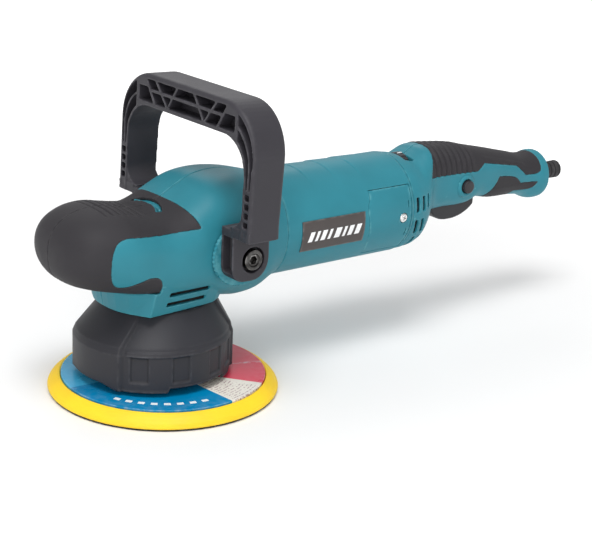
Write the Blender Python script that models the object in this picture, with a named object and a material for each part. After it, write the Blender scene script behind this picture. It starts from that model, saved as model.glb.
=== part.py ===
"""Dual action polisher: a corded orbital polisher with a palm nose, a bail handle and a rear grip.

The frame: +Z is up and the pad's working face lies on z = 0. The output spindle stands on the
Z axis, the nose points along -X and the cord leaves along +X. The tool's left side is at -Y.
Sizes are in millimetres in the code, and every mesh is scaled to metres as it is made. Heights
are counted from the moulding datum, DATUM below the pad's face, and the finished tool is stood
on its pad at the end.
"""

import math

import bmesh
import bpy
from mathutils import Matrix, Vector

MM = 0.001
GAP = 0.3
DATUM = 2.4
ROUND = 24

# Pad and orbit drive.
ORBIT = 7.5
ORBIT_ANGLE = math.radians(-52.0)
PAD_X = ORBIT * math.cos(ORBIT_ANGLE)
PAD_Y = ORBIT * math.sin(ORBIT_ANGLE)
PAD_R = 75.0
PAD_TOP = 13.0
PLATE_R = 66.3
SPINDLE_R = 6.0

# Motor line.
MOTOR_Z = 100.0
MOTOR_R = 35.3
MOTOR_FRONT = 80.0
MOTOR_REAR = 190.0
SHAFT_R = 4.0
GEAR_TEETH = 28
PINION_TEETH = 7
PITCH_R = 24.5
AIR_RING = 21.5

# Head.
WALL = 4.6
RUBBER = 1.9
CASE_R = 30.0
CASE_WALL = 4.4
BAIL_X = 35.5
BAIL_Z = 97.5
BAIL_HALF = 75.0
BAIL_LEAN = math.radians(1.8)

# Rear handle.
TRIGGER_PIVOT = (269.0, 100.4)
LOCK_X = 253.0
LOCK_Z = 107.0
DIAL_X = 203.0
DIAL_Z = 121.0
FLANGE_X = 343.0
CORD_Z = 101.0
GLAND_END = 369.0

# Head sections along X: position, top, bottom, half width, squareness above and below.
HEAD = [
    (-72.8, 113.0, 95.5, 13.0, 2.0, 2.0),
    (-71.0, 118.0, 90.5, 21.5, 2.1, 2.1),
    (-68.0, 122.4, 86.5, 27.5, 2.2, 2.2),
    (-63.0, 126.4, 82.5, 32.8, 2.3, 2.3),
    (-56.0, 129.2, 79.5, 36.8, 2.4, 2.4),
    (-48.0, 130.8, 77.5, 39.4, 2.5, 2.6),
    (-40.0, 130.0, 76.0, 40.6, 2.6, 2.8),
    (-30.0, 127.4, 74.5, 41.2, 2.6, 3.4),
    (-20.0, 125.2, 73.5, 41.5, 2.6, 3.8),
    (-10.0, 124.4, 72.0, 42.0, 2.6, 4.0),
    (0.0, 127.6, 71.0, 42.2, 2.5, 4.0),
    (12.0, 134.0, 70.0, 42.2, 2.4, 3.8),
    (25.0, 140.0, 68.0, 41.8, 2.4, 3.2),
    (40.0, 142.3, 66.0, 40.4, 2.3, 2.6),
    (54.0, 141.4, 65.2, 38.6, 2.2, 2.3),
    (67.0, 138.6, 64.8, 37.0, 2.1, 2.1),
    (79.7, 135.8, 64.4, 35.7, 2.0, 2.0),
]
HEAD_TIP = (-73.6, 104.0)
CHIN_LOW = 63.0
CHIN_HIGH = 82.0

# Rear housing sections along X: position, top, bottom, half width, squareness above and below.
REAR = [
    (190.3, 135.0, 65.0, 35.0, 2.0, 2.0),
    (198.0, 133.6, 65.6, 34.2, 2.1, 2.1),
    (206.0, 131.6, 68.0, 31.5, 2.3, 2.3),
    (212.0, 134.4, 72.6, 28.2, 2.4, 2.4),
    (218.0, 137.2, 80.0, 24.6, 2.5, 2.5),
    (226.0, 137.4, 89.5, 22.2, 2.6, 2.6),
    (238.0, 136.0, 95.0, 21.0, 2.6, 2.6),
    (252.0, 134.4, 95.2, 20.4, 2.5, 2.5),
    (270.0, 131.2, 92.6, 19.6, 2.4, 2.4),
    (290.0, 126.8, 90.0, 18.6, 2.4, 2.4),
    (312.0, 121.6, 88.8, 17.8, 2.2, 2.2),
    (326.0, 118.6, 86.4, 17.4, 2.1, 2.1),
    (334.0, 118.8, 83.0, 18.0, 2.0, 2.0),
    (338.0, 119.6, 82.4, 18.6, 2.0, 2.0),
    (FLANGE_X, 119.4, 82.6, 18.4, 2.0, 2.0),
]

# Rubber outlines seen from the side, as X, Z.
NOSE_RUBBER = [
    (-90.0, 140.0), (-22.0, 140.0), (-4.0, 128.5), (3.5, 122.5), (8.0, 117.5), (-12.0, 116.3),
    (-30.0, 117.0),
    (-44.0, 118.2), (-50.5, 115.5), (-53.8, 109.0), (-54.6, 99.0), (-53.0, 89.0), (-48.5, 83.6),
    (-42.0, 83.0), (-34.0, 86.6), (-27.0, 88.4), (-21.0, 86.5), (-19.5, 81.5), (-24.0, 79.4),
    (-42.0, 79.4), (-90.0, 70.0),
]
GRIP_RUBBER = [
    (216.0, 146.0), (219.5, 132.0), (217.4, 118.6), (250.0, 117.4), (262.0, 116.8), (270.5, 121.4),
    (301.0, 115.2), (313.5, 106.4), (329.5, 105.4), (332.0, 111.0), (331.0, 130.0), (300.0, 146.0),
]
PALM_RUBBER = [
    (272.0, 80.0), (277.0, 95.2), (290.6, 109.6), (304.5, 107.0), (310.5, 100.4), (326.0, 98.8),
    (323.0, 93.6), (306.0, 94.8), (300.0, 80.0),
]


def mesh_object(name, verts, faces):
    """One object from points in millimetres, its faces turned outwards."""
    mesh = bpy.data.meshes.new(name)
    mesh.from_pydata([Vector(v) * MM for v in verts], [], faces)
    bm = bmesh.new()
    bm.from_mesh(mesh)
    bmesh.ops.recalc_face_normals(bm, faces=bm.faces)
    bm.to_mesh(mesh)
    bm.free()
    obj = bpy.data.objects.new(name, mesh)
    bpy.context.collection.objects.link(obj)
    return obj


def loft(name, rings):
    """A closed solid through rings of equal length; a ring of one point closes to a tip."""
    verts, faces, starts = [], [], []
    for ring in rings:
        starts.append(len(verts))
        verts.extend(ring)
    count = max(len(ring) for ring in rings)
    for first, second, a, b in zip(rings, rings[1:], starts, starts[1:]):
        for i in range(count):
            j = (i + 1) % count
            if len(first) == 1:
                faces.append((a, b + i, b + j))
            elif len(second) == 1:
                faces.append((a + i, a + j, b))
            else:
                faces.append((a + i, a + j, b + j, b + i))
    if len(rings[0]) > 1:
        faces.append(tuple(range(count)))
    if len(rings[-1]) > 1:
        faces.append(tuple(starts[-1] + i for i in range(count)))
    return mesh_object(name, verts, faces)


def oval_ring(x, top, bottom, half, above, below, count=ROUND):
    """A superellipse in the plane X = x, with its own squareness above and below its middle."""
    middle = (top + bottom) / 2
    tall = (top - bottom) / 2
    ring = []
    for i in range(count):
        turn = math.tau * (i + 0.5) / count
        c, s = math.cos(turn), math.sin(turn)
        square = above if s > 0 else below
        y = half * math.copysign(abs(c) ** (2 / square), c)
        z = middle + tall * math.copysign(abs(s) ** (2 / square), s)
        ring.append((x, y, z))
    return ring


def body(name, stations, inset=0.0, tip=None, overrun=0.0):
    """A lofted body; inset shrinks it all round, overrun carries its ends past the stations."""
    rings = []
    if tip:
        rings.append([(tip[0] + inset, 0.0, tip[1])])
    for x, top, bottom, half, above, below in stations:
        if half - inset > 6.0 and (not tip or x > tip[0] + inset + 1.0):
            rings.append(oval_ring(x, top - inset, bottom + inset, half - inset, above, below))
    if overrun:
        rings.append([(x + overrun, y, z) for x, y, z in rings[-1]])
        if not tip:
            rings.insert(0, [(x - overrun, y, z) for x, y, z in rings[0]])
    return loft(name, rings)


def prism(name, outline, low, high, axis="Y"):
    """An outline pushed along one axis; the outline holds the other two coordinates in order."""
    place = {
        "X": lambda a, b, t: (t, a, b),
        "Y": lambda a, b, t: (a, t, b),
        "Z": lambda a, b, t: (a, b, t),
    }[axis]
    return loft(name, [[place(a, b, t) for a, b in outline] for t in (low, high)])


def box(name, low, high):
    """A plain block between two corners."""
    outline = [(low[0], low[1]), (high[0], low[1]), (high[0], high[1]), (low[0], high[1])]
    return prism(name, outline, low[2], high[2], "Z")


def turned(name, profile, centre=(0.0, 0.0, 0.0), axis="Z", steps=ROUND):
    """A turned piece from (radius, height) points. Ends at radius 0 close it, else it is a ring."""
    place = {
        "X": lambda r, h, c, s: (h, r * c, r * s),
        "Y": lambda r, h, c, s: (r * c, h, r * s),
        "Z": lambda r, h, c, s: (r * c, r * s, h),
    }[axis]
    solid = profile[0][0] == 0.0
    verts, rows = [], []
    for radius, height in profile:
        spots = 1 if radius == 0.0 else steps
        rows.append(range(len(verts), len(verts) + spots))
        for i in range(spots):
            turn = math.tau * i / steps
            spot = place(radius, height, math.cos(turn), math.sin(turn))
            verts.append([p + q for p, q in zip(spot, centre)])
    pairs = list(zip(rows, rows[1:])) if solid else list(zip(rows, rows[1:] + rows[:1]))
    faces = []
    for one, two in pairs:
        for i in range(steps):
            j = (i + 1) % steps
            if len(one) == 1:
                faces.append((one[0], two[i], two[j]))
            elif len(two) == 1:
                faces.append((one[i], one[j], two[0]))
            else:
                faces.append((one[i], one[j], two[j], two[i]))
    return mesh_object(name, verts, faces)


def rod(name, radius, low, high, centre=(0.0, 0.0, 0.0), axis="Z", steps=ROUND):
    """A plain cylinder between two heights."""
    profile = [(0.0, low), (radius, low), (radius, high), (0.0, high)]
    return turned(name, profile, centre, axis, steps)


def ring(name, inner, outer, low, high, centre=(0.0, 0.0, 0.0), axis="Z", steps=20):
    """A plain square-edged ring."""
    profile = [(inner, low), (outer, low), (outer, high), (inner, high)]
    return turned(name, profile, centre, axis, steps)


def combine(target, tools, operation):
    """Boolean the tools into the target, keep the result as its mesh and drop the tools."""
    for tool in tools:
        step = target.modifiers.new(operation.lower(), "BOOLEAN")
        step.operation = operation
        step.solver = "EXACT"
        step.object = tool
    graph = bpy.context.evaluated_depsgraph_get()
    graph.update()
    mesh = bpy.data.meshes.new_from_object(target.evaluated_get(graph))
    target.modifiers.clear()
    old = target.data
    target.data = mesh
    bpy.data.meshes.remove(old)
    for tool in tools:
        bpy.data.objects.remove(tool)
    return target


def cut(target, *tools):
    return combine(target, tools, "DIFFERENCE")


def join(target, *tools):
    return combine(target, tools, "UNION")


def keep(target, tool):
    return combine(target, [tool], "INTERSECT")


def inset_outline(outline, distance):
    """The outline moved inwards by a distance, corner by corner."""
    area = sum(a[0] * b[1] - b[0] * a[1] for a, b in zip(outline, outline[1:] + outline[:1]))
    side = 1.0 if area > 0 else -1.0
    moved = []
    for before, here, after in zip(outline[-1:] + outline[:-1], outline, outline[1:] + outline[:1]):
        one = (Vector(here) - Vector(before)).normalized()
        two = (Vector(after) - Vector(here)).normalized()
        normal_one = Vector((-one.y, one.x)) * side
        normal_two = Vector((-two.y, two.x)) * side
        middle = (normal_one + normal_two).normalized()
        reach = distance / max(0.5, middle.dot(normal_one))
        moved.append(tuple(Vector(here) + middle * reach))
    return moved


def rounded_box(low, high, radius, corner_steps=3):
    """A rectangle with round corners, as (a, b) points."""
    centres = [
        (high[0] - radius, high[1] - radius, 0.0), (low[0] + radius, high[1] - radius, 90.0),
        (low[0] + radius, low[1] + radius, 180.0), (high[0] - radius, low[1] + radius, 270.0),
    ]
    points = []
    for a, b, start in centres:
        for i in range(corner_steps + 1):
            turn = math.radians(start + 90.0 * i / corner_steps)
            points.append((a + radius * math.cos(turn), b + radius * math.sin(turn)))
    return points


def set_pivot(obj, point):
    """Move an object's origin to a point on its joint's axis."""
    spot = Vector(point) * MM
    obj.data.transform(Matrix.Translation(-spot))
    obj.location = spot


def finish(obj, colour, roughness, metallic=0.0, smooth=35.0):
    """Shade a piece and give it its own material."""
    obj.data.shade_smooth()
    obj.data.set_sharp_from_angle(angle=math.radians(smooth))
    material = bpy.data.materials.new(obj.name)
    material.use_nodes = True
    shader = material.node_tree.nodes["Principled BSDF"]
    shader.inputs["Base Color"].default_value = (*colour, 1.0)
    shader.inputs["Roughness"].default_value = roughness
    shader.inputs["Metallic"].default_value = metallic
    obj.data.materials.clear()
    obj.data.materials.append(material)
    return obj


TEAL = (0.035, 0.235, 0.285)
CHARCOAL = (0.045, 0.043, 0.050)
BLACK = (0.018, 0.018, 0.020)
YELLOW = (0.95, 0.66, 0.03)
BLUE = (0.02, 0.34, 0.62)
STEEL = (0.55, 0.56, 0.58)
COPPER = (0.70, 0.32, 0.14)
CAST = (0.50, 0.51, 0.52)
BRASS = (0.68, 0.50, 0.20)
GRAPHITE = (0.05, 0.05, 0.055)
NYLON = (0.10, 0.10, 0.11)


def make_pad():
    """Hook face, foam, printed backing plate and the stud moulded into it."""
    centre = (PAD_X, PAD_Y, 0.0)
    hook = rod("hook_face", PAD_R - 1.0, DATUM, DATUM + 0.9, centre, steps=40)
    finish(hook, BLACK, 0.95)
    foam = turned("pad_foam", [
        (0.0, 3.6), (PAD_R - 0.6, 3.6), (PAD_R, 4.6), (PAD_R - 1.0, 6.8), (PAD_R - 4.2, 10.0),
        (PLATE_R + 1.0, 12.0), (PLATE_R + 0.4, 12.0), (PLATE_R + 0.4, 9.6), (0.0, 9.6),
    ], centre, steps=40)
    finish(foam, YELLOW, 0.75)
    plate = turned("pad_plate", [
        (0.0, 9.9), (PLATE_R, 9.9), (PLATE_R, PAD_TOP), (17.0, PAD_TOP), (15.0, 16.0), (0.0, 16.0),
    ], centre, steps=40)
    finish(plate, BLUE, 0.35)
    stud = turned("pad_stud", [
        (0.0, 16.3), (9.0, 16.3), (9.0, 18.3), (4.0, 18.3), (4.0, 31.0), (3.0, 32.0), (0.0, 32.0),
    ], centre, steps=20)
    finish(stud, STEEL, 0.3, 1.0)
    for piece in (hook, foam, plate, stud):
        set_pivot(piece, centre)


def make_orbit_drive():
    """The pad spindle in its two bearings, inside the eccentric carrier with its weight."""
    centre = (PAD_X, PAD_Y, 0.0)
    spindle = turned("pad_spindle", [
        (0.0, 33.0), (4.3, 33.0), (4.3, 18.6), (10.0, 18.6), (10.0, 21.5),
        (SPINDLE_R, 21.5), (SPINDLE_R, 42.0), (0.0, 42.0),
    ], centre, steps=24)
    finish(spindle, STEEL, 0.3, 1.0)
    set_pivot(spindle, centre)
    bore = SPINDLE_R + GAP
    finish(ring("orbit_bearing_lower", bore, 13.0, 24.0, 31.0, centre), STEEL, 0.25, 1.0)
    finish(ring("orbit_bearing_upper", bore, 11.0, 34.0, 41.0, centre), STEEL, 0.25, 1.0)
    carrier = turned("eccentric_carrier", [
        (0.0, 22.4), (27.0, 22.4), (27.0, 44.5), (11.0, 46.0), (11.0, 56.0),
        (SPINDLE_R + GAP, 56.0), (SPINDLE_R + GAP, 48.0), (0.0, 48.0),
    ], steps=32)
    cut(
        carrier,
        rod("bore_low", 13.0 + GAP, 20.0, 31.6, centre, steps=24),
        rod("bore_high", 11.0 + GAP, 25.0, 43.2, centre, steps=24),
    )
    finish(carrier, CAST, 0.45, 1.0)
    steps = 14
    away = ORBIT_ANGLE + math.pi
    turns = [away + math.radians(-78.0 + 156.0 * i / steps) for i in range(steps + 1)]
    outline = [(27.3 * math.cos(t), 27.3 * math.sin(t)) for t in turns]
    outline += [(44.5 * math.cos(t), 44.5 * math.sin(t)) for t in reversed(turns)]
    finish(prism("counterweight", outline, 23.5, 41.0, "Z"), GRAPHITE, 0.5, 1.0)


def make_output():
    """Output spindle with its bearings and the large bevel gear."""
    spindle = turned("output_spindle", [
        (0.0, 48.4), (SPINDLE_R, 48.4), (SPINDLE_R, 111.0), (5.0, 112.0), (0.0, 112.0),
    ], steps=24)
    finish(spindle, STEEL, 0.25, 1.0)
    bore = SPINDLE_R + GAP
    finish(ring("spindle_bearing_lower", bore, 13.0, 59.5, 68.0), STEEL, 0.25, 1.0)
    finish(ring("spindle_bearing_upper", bore, 11.0, 104.6, 112.0), STEEL, 0.25, 1.0)
    finish(bevel_gear(), STEEL, 0.35, 1.0)
    finish(bevel_pinion(), STEEL, 0.35, 1.0)


def tooth_wave(step, root, tip):
    """Root or tip height by turns: every fourth pair of steps is a tooth's crest."""
    return tip if step % 4 in (1, 2) else root


def bevel_gear():
    """Crown side up; its pitch cone meets the pinion's on the motor line."""
    slope = PINION_TEETH / GEAR_TEETH
    steps = GEAR_TEETH * 4
    start = math.pi / GEAR_TEETH
    levels = [
        (SPINDLE_R + GAP, 85.0, False), (PITCH_R, 88.0, False), (PITCH_R, None, True),
        (17.0, None, True), (SPINDLE_R + GAP, 94.0, False),
    ]
    rings = []
    for radius, height, toothed in levels:
        row = []
        for i in range(steps):
            turn = start + math.tau * (i - 1.5) / steps
            z = height
            if toothed:
                pitch = MOTOR_Z - radius * slope
                z = tooth_wave(i, pitch - 1.5 * radius / PITCH_R, pitch + 0.6 * radius / PITCH_R)
            row.append((radius * math.cos(turn), radius * math.sin(turn), z))
        rings.append(row)
    return ring_solid("bevel_gear", rings)


def bevel_pinion():
    """The small gear on the armature shaft, with a plain hub behind its teeth."""
    slope = PINION_TEETH / GEAR_TEETH
    steps = PINION_TEETH * 4
    rings = []
    for x, toothed in ((17.5, True), (PITCH_R, True), (PITCH_R + 0.5, False), (38.0, False)):
        row = []
        for i in range(steps):
            turn = math.tau * (i - 1.5) / steps - math.pi / 2
            radius = 5.0
            if toothed:
                pitch = x * slope
                radius = tooth_wave(i, pitch - 1.3 * x / PITCH_R, pitch + 0.5 * x / PITCH_R)
            row.append((x, radius * math.cos(turn), MOTOR_Z + radius * math.sin(turn)))
        rings.append(row)
    bore = 3.0
    for x in (38.0, 17.5):
        row = []
        for i in range(steps):
            turn = math.tau * (i - 1.5) / steps - math.pi / 2
            row.append((x, bore * math.cos(turn), MOTOR_Z + bore * math.sin(turn)))
        rings.append(row)
    return ring_solid("bevel_pinion", rings)


def ring_solid(name, rings):
    """A closed ring-shaped solid: the last ring joins back to the first."""
    count = len(rings[0])
    verts = [point for row in rings for point in row]
    faces = []
    for r in range(len(rings)):
        s = (r + 1) % len(rings)
        for i in range(count):
            j = (i + 1) % count
            faces.append((r * count + i, r * count + j, s * count + j, s * count + i))
    return mesh_object(name, verts, faces)


def make_gear_case():
    """Cast case around the gears, and the plate that closes it and holds the lower bearing."""
    motor_line = (0.0, 0.0, MOTOR_Z)
    case = rod("gear_case", CASE_R, 62.0, 116.0, steps=30)
    join(case, rod("neck", 27.2, 11.3, 78.0, motor_line, "X", 29))
    cut(case, rod("hollow", CASE_R - CASE_WALL, 50.0, 103.0, steps=26))
    cut(case, rod("upper_seat", 11.0 + GAP, 97.0, 112.4, steps=22))
    cut(case, rod("shaft_way", 8.5, 15.3, 91.0, motor_line, "X", 18))
    cut(case, rod("bearing_seat", 13.0 + GAP, 62.0, 92.0, motor_line, "X", 20))
    finish(case, CAST, 0.5, 1.0)
    plate_r = CASE_R - CASE_WALL - GAP
    retainer = turned("bearing_retainer", [
        (13.0 + GAP, 59.0), (plate_r, 59.0), (plate_r, 66.0), (17.0, 66.0),
        (15.0, 70.5), (9.5, 70.5), (9.5, 68.4), (13.0 + GAP, 68.4),
    ], steps=32)
    finish(retainer, CAST, 0.5, 1.0)


def make_skirt():
    """Moulded shroud round the orbit drive, with notches round its lower rim."""
    wall = 2.5
    levels = [
        (15.5, 50.9, 0.0), (42.0, 50.9, 0.0), (61.4, 37.8, 3.4), (62.6, 37.0, 3.4),
        (62.6, 34.4, 3.4), (60.0, 36.4, 3.4), (41.0, 50.9 - wall, 0.0), (15.5, 50.9 - wall, 0.0),
    ]
    steps = 44
    rings = []
    for z, radius, shift in levels:
        row = []
        for i in range(steps):
            turn = math.tau * (i + 0.5) / steps
            narrow = 1.0 - 0.024 * shift * math.sin(turn) ** 2
            row.append((
                shift + radius * narrow * math.cos(turn), radius * narrow * math.sin(turn), z,
            ))
        rings.append(row)
    skirt = ring_solid("skirt", rings)
    notches = []
    for turn in (40.0, 140.0, 215.0, 320.0):
        notch = box("notch", (44.0, -9.0, 10.0), (56.0, 9.0, 18.4))
        notch.data.transform(Matrix.Rotation(math.radians(turn), 4, "Z"))
        notches.append(notch)
    finish(cut(skirt, *notches), CHARCOAL, 0.5)


def mirrored(points):
    """A plan outline from its points at +Y, front to back."""
    return points + [(x, -y) for x, y in reversed(points)]


def chin():
    """The collar under the head: bowed front, sharp cheeks, sides that lean out as they rise."""
    low = mirrored([
        (-37.6, 6.0), (-36.0, 14.0), (-32.4, 22.5), (-24.8, 34.6), (-8.0, 33.4),
        (6.0, 32.4), (18.0, 31.2), (25.6, 29.9), (33.0, 25.0), (39.0, 16.0), (42.0, 6.0),
    ])
    high = mirrored([
        (-43.0, 6.0), (-42.0, 15.0), (-37.0, 25.5), (-23.0, 39.6), (-8.0, 39.8),
        (6.0, 39.8), (18.0, 39.6), (27.0, 38.0), (36.0, 32.0), (44.0, 20.0), (47.0, 7.0),
    ])
    rings = [[(x, y, z) for x, y in plan] for plan, z in ((low, CHIN_LOW), (high, CHIN_HIGH))]
    return loft("chin", rings)


def make_head():
    """Two cover halves that close over the gear case, each with its moulded-on rubber."""
    for name, side in (("left", -1.0), ("right", 1.0)):
        cover = body("head_cover_" + name, HEAD, 0.0, HEAD_TIP)
        join(cover, chin())
        low, high = sorted((side * 28.0, side * 55.0))
        cut(cover, box("vent_high", (-13.0, low, 75.3), (16.0, high, 78.1)))
        cut(cover, box("vent_low", (-15.7, low, 68.3), (12.8, high, 71.1)))
        pocket = prism("pocket", NOSE_RUBBER, -60.0, 60.0)
        cut(pocket, body("under", HEAD, RUBBER + GAP, HEAD_TIP, 4.0))
        cut(
            cover,
            body("inside", HEAD, WALL, HEAD_TIP, 4.0),
            rod("case_room", CASE_R + GAP, 50.0, 116.6, steps=30),
            pocket,
            rod("bolt_hole", 3.3, -60.0, 60.0, (BAIL_X, 0.0, BAIL_Z), "Y", 16),
        )
        half_cut(cover, side)
        finish(cover, TEAL, 0.42)
        rubber = prism("nose_grip_" + name, inset_outline(NOSE_RUBBER, GAP), -60.0, 60.0)
        keep(rubber, body("skin", HEAD, 0.0, HEAD_TIP))
        cut(rubber, body("under", HEAD, RUBBER, HEAD_TIP, 4.0))
        half_cut(rubber, side)
        finish(rubber, CHARCOAL, 0.7)


def half_cut(obj, side):
    """Keep one side of the middle plane, a hair away from it."""
    reach = 120.0
    seam = GAP / 2
    low, high = (-seam, reach) if side < 0 else (-reach, seam)
    cut(obj, box("other_side", (-reach, low, -reach), (5 * reach, high, 2 * reach)))


def make_bail():
    """The bail handle, its pivot discs and its two bolts."""
    shape = rounded_box((-BAIL_HALF, 90.0), (BAIL_HALF, 197.0), 33.0, 6)
    bail = prism("d_handle", shape, 18.2, 41.6, "X")
    inside = rounded_box((-BAIL_HALF + 9.5, 60.0), (BAIL_HALF - 9.5, 176.5), 23.0, 5)
    cut(
        bail,
        prism("hand_room", inside, 0.0, 80.0, "X"),
        box("below", (0.0, -90.0, 50.0), (80.0, 90.0, 114.6)),
    )
    for side in (-1.0, 1.0):
        low, high = sorted((side * 46.6, side * 58.0))
        lug = prism("lug", lug_outline(), low, high)
        low, high = sorted((side * 57.0, side * (BAIL_HALF - 0.8)))
        foot = box("foot", (18.8, low, 114.8), (41.0, high, 123.0))
        join(bail, lug, foot)
    bolt_line = (BAIL_X, 0.0, BAIL_Z)
    cut(
        bail,
        rod("bolt_way", 3.3, -90.0, 90.0, bolt_line, "Y", 16),
        rod("sink_left", 8.6, -90.0, -53.0, bolt_line, "Y", 24),
        rod("sink_right", 8.6, 53.0, 90.0, bolt_line, "Y", 24),
    )
    lean = Matrix.Translation(Vector(bolt_line) * MM) @ Matrix.Rotation(BAIL_LEAN, 4, "Y")
    bail.data.transform(lean @ Matrix.Translation(-Vector(bolt_line) * MM))
    set_pivot(bail, bolt_line)
    finish(bail, CHARCOAL, 0.5)
    for name, side in (("left", -1.0), ("right", 1.0)):
        low, high = sorted((side * 42.6, side * 46.3))
        disc = ring("pivot_disc_" + name, 3.3, 21.5, low, high, bolt_line, "Y", 32)
        finish(disc, TEAL, 0.42)
        profile = [
            (0.0, 38.5), (3.0, 38.5), (3.0, 53.3), (6.4, 53.3), (6.4, 58.6), (2.6, 58.6),
            (2.6, 55.5), (0.0, 55.5),
        ]
        bolt = turned("bail_bolt_" + name, [(r, side * h) for r, h in profile], bolt_line, "Y", 18)
        set_pivot(bolt, bolt_line)
        finish(bolt, STEEL, 0.35, 1.0)


def lug_outline():
    """Side view of a bail lug: round below the bolt, square above, as X, Z."""
    points = [(22.2, 119.0)]
    for i in range(9):
        turn = math.pi * (1.0 + i / 8)
        points.append((34.8 + 12.6 * math.cos(turn), BAIL_Z + 13.5 * math.sin(turn)))
    return points + [(47.4, 119.0)]


def make_motor():
    """Motor housing, field stack, armature, fan, commutator and their bearings."""
    line = (0.0, 0.0, MOTOR_Z)
    housing = turned("motor_housing", [
        (MOTOR_R - 2.6, MOTOR_FRONT), (MOTOR_R, MOTOR_FRONT), (MOTOR_R + 0.2, 100.0),
        (MOTOR_R - 0.3, MOTOR_REAR), (9.4, MOTOR_REAR), (9.4, 181.0), (12.5, 181.0),
        (12.5, 186.0), (MOTOR_R - 2.6, 186.0),
    ], line, "X", 40)
    tools = []
    for i in range(4):
        turn = math.radians(45.0 + 90.0 * i)
        spot = (0.0, AIR_RING * math.cos(turn), MOTOR_Z + AIR_RING * math.sin(turn))
        tools.append(rod("air_way", 6.5, 170.0, 200.0, spot, "X", 12))
    for side in (-1.0, 1.0):
        low, high = sorted((side * 20.0, side * 50.0))
        tools.append(box("holder_way", (161.0, low, 93.7), (175.0, high, 106.3)))
    cut(housing, *tools)
    for side in (-1.0, 1.0):
        cut(housing, cover_seat("seat", side, GAP, MOTOR_R - 1.4))
    finish(housing, TEAL, 0.42)
    finish(ring("stator", 23.2, 32.4, 102.0, 142.0, line, "X", 32), GRAPHITE, 0.5, 1.0)
    shaft = turned("armature_shaft", [
        (0.0, 16.0), (2.7, 16.0), (2.7, 38.3), (SHAFT_R, 38.3), (SHAFT_R, 191.0), (0.0, 191.0),
    ], line, "X", 16)
    finish(shaft, STEEL, 0.25, 1.0)
    bore = SHAFT_R + GAP
    finish(ring("armature_core", bore, 22.4, 103.0, 141.0, line, "X"), GRAPHITE, 0.5, 1.0)
    finish(ring("commutator", bore, 11.5, 156.0, 177.0, line, "X"), COPPER, 0.3, 1.0)
    finish(ring("armature_bearing_front", bore, 13.0, 62.6, 72.0, line, "X"), STEEL, 0.25, 1.0)
    finish(ring("armature_bearing_rear", bore, 9.1, 182.0, 189.0, line, "X", 20), STEEL, 0.25, 1.0)
    fan = ring("cooling_fan", bore, 28.0, 82.0, 84.5, line, "X", 27)
    blades = []
    for i in range(9):
        blade = box("blade", (84.0, 12.0, -0.9), (93.0, 27.0, 0.9))
        blade.data.transform(Matrix.Rotation(math.radians(40.0 * i + 7.0), 4, "X"))
        blade.data.transform(Matrix.Translation(Vector(line) * MM))
        blades.append(blade)
    finish(join(fan, *blades), NYLON, 0.5)
    set_pivot(fan, (82.0, 0.0, MOTOR_Z))


def cover_seat(name, side, grow, inner):
    """The curved block that a brush cover fills in the motor housing's wall."""
    high = 0.63 + grow / MOTOR_R
    low = -0.92 - grow / MOTOR_R
    steps = 8
    rings = []
    for x in (151.0 - grow, 187.2 + grow):
        row = []
        for i in range(steps + 1):
            t = low + (high - low) * i / steps
            row.append((x, side * 60.0 * math.cos(t), MOTOR_Z + 60.0 * math.sin(t)))
        for i in range(steps + 1):
            t = high + (low - high) * i / steps
            row.append((x, side * inner * math.cos(t), MOTOR_Z + inner * math.sin(t)))
        rings.append(row)
    return loft(name, rings)


def make_brushes():
    """Carbon brushes in their holders, under screwed covers in the housing's sides."""
    line = (0.0, 0.0, MOTOR_Z)
    for name, side in (("left", -1.0), ("right", 1.0)):
        low, high = sorted((side * 13.0, side * 30.5))
        holder = box("brush_holder_" + name, (161.4, low, 94.1), (174.6, high, 105.9))
        low, high = sorted((side * 8.0, side * 40.0))
        cut(holder, box("way", (163.6, low, 96.1), (172.4, high, 103.9)))
        finish(holder, BRASS, 0.4, 1.0)
        low, high = sorted((side * 12.0, side * 25.0))
        finish(box("brush_" + name, (164.0, low, 96.5), (172.0, high, 103.5)), GRAPHITE, 0.6)
        cover = cover_seat("brush_cover_" + name, side, 0.0, MOTOR_R - 1.4 + GAP)
        keep(cover, rod("skin", MOTOR_R - 0.1, 140.0, 200.0, line, "X", 56))
        centre = (180.6, 0.0, 97.6)
        low, high = sorted((side * 28.0, side * 50.0))
        cut(cover, rod("screw_hole", 3.6, low, high, centre, "Y", 16))
        finish(cover, TEAL, 0.42)
        screw = turned("brush_cover_screw_" + name, [
            (0.0, side * 34.3), (3.2, side * 34.3), (3.2, side * 35.0), (2.6, side * 35.6),
            (0.0, side * 35.7),
        ], centre, "Y", 16)
        finish(screw, STEEL, 0.3, 1.0)


def make_nameplate():
    """A thin plate glued to the left of the motor housing."""
    steps = 6
    rings = []
    for x in (91.5, 145.0):
        row = []
        for radius, order in ((MOTOR_R + 1.1, 1), (MOTOR_R + 0.5, -1)):
            for i in range(steps + 1)[::order]:
                t = math.radians(-22.0 + 33.0 * i / steps)
                row.append((x, -radius * math.cos(t), MOTOR_Z + radius * math.sin(t)))
        rings.append(row)
    finish(loft("nameplate", rings), CHARCOAL, 0.4)


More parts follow.
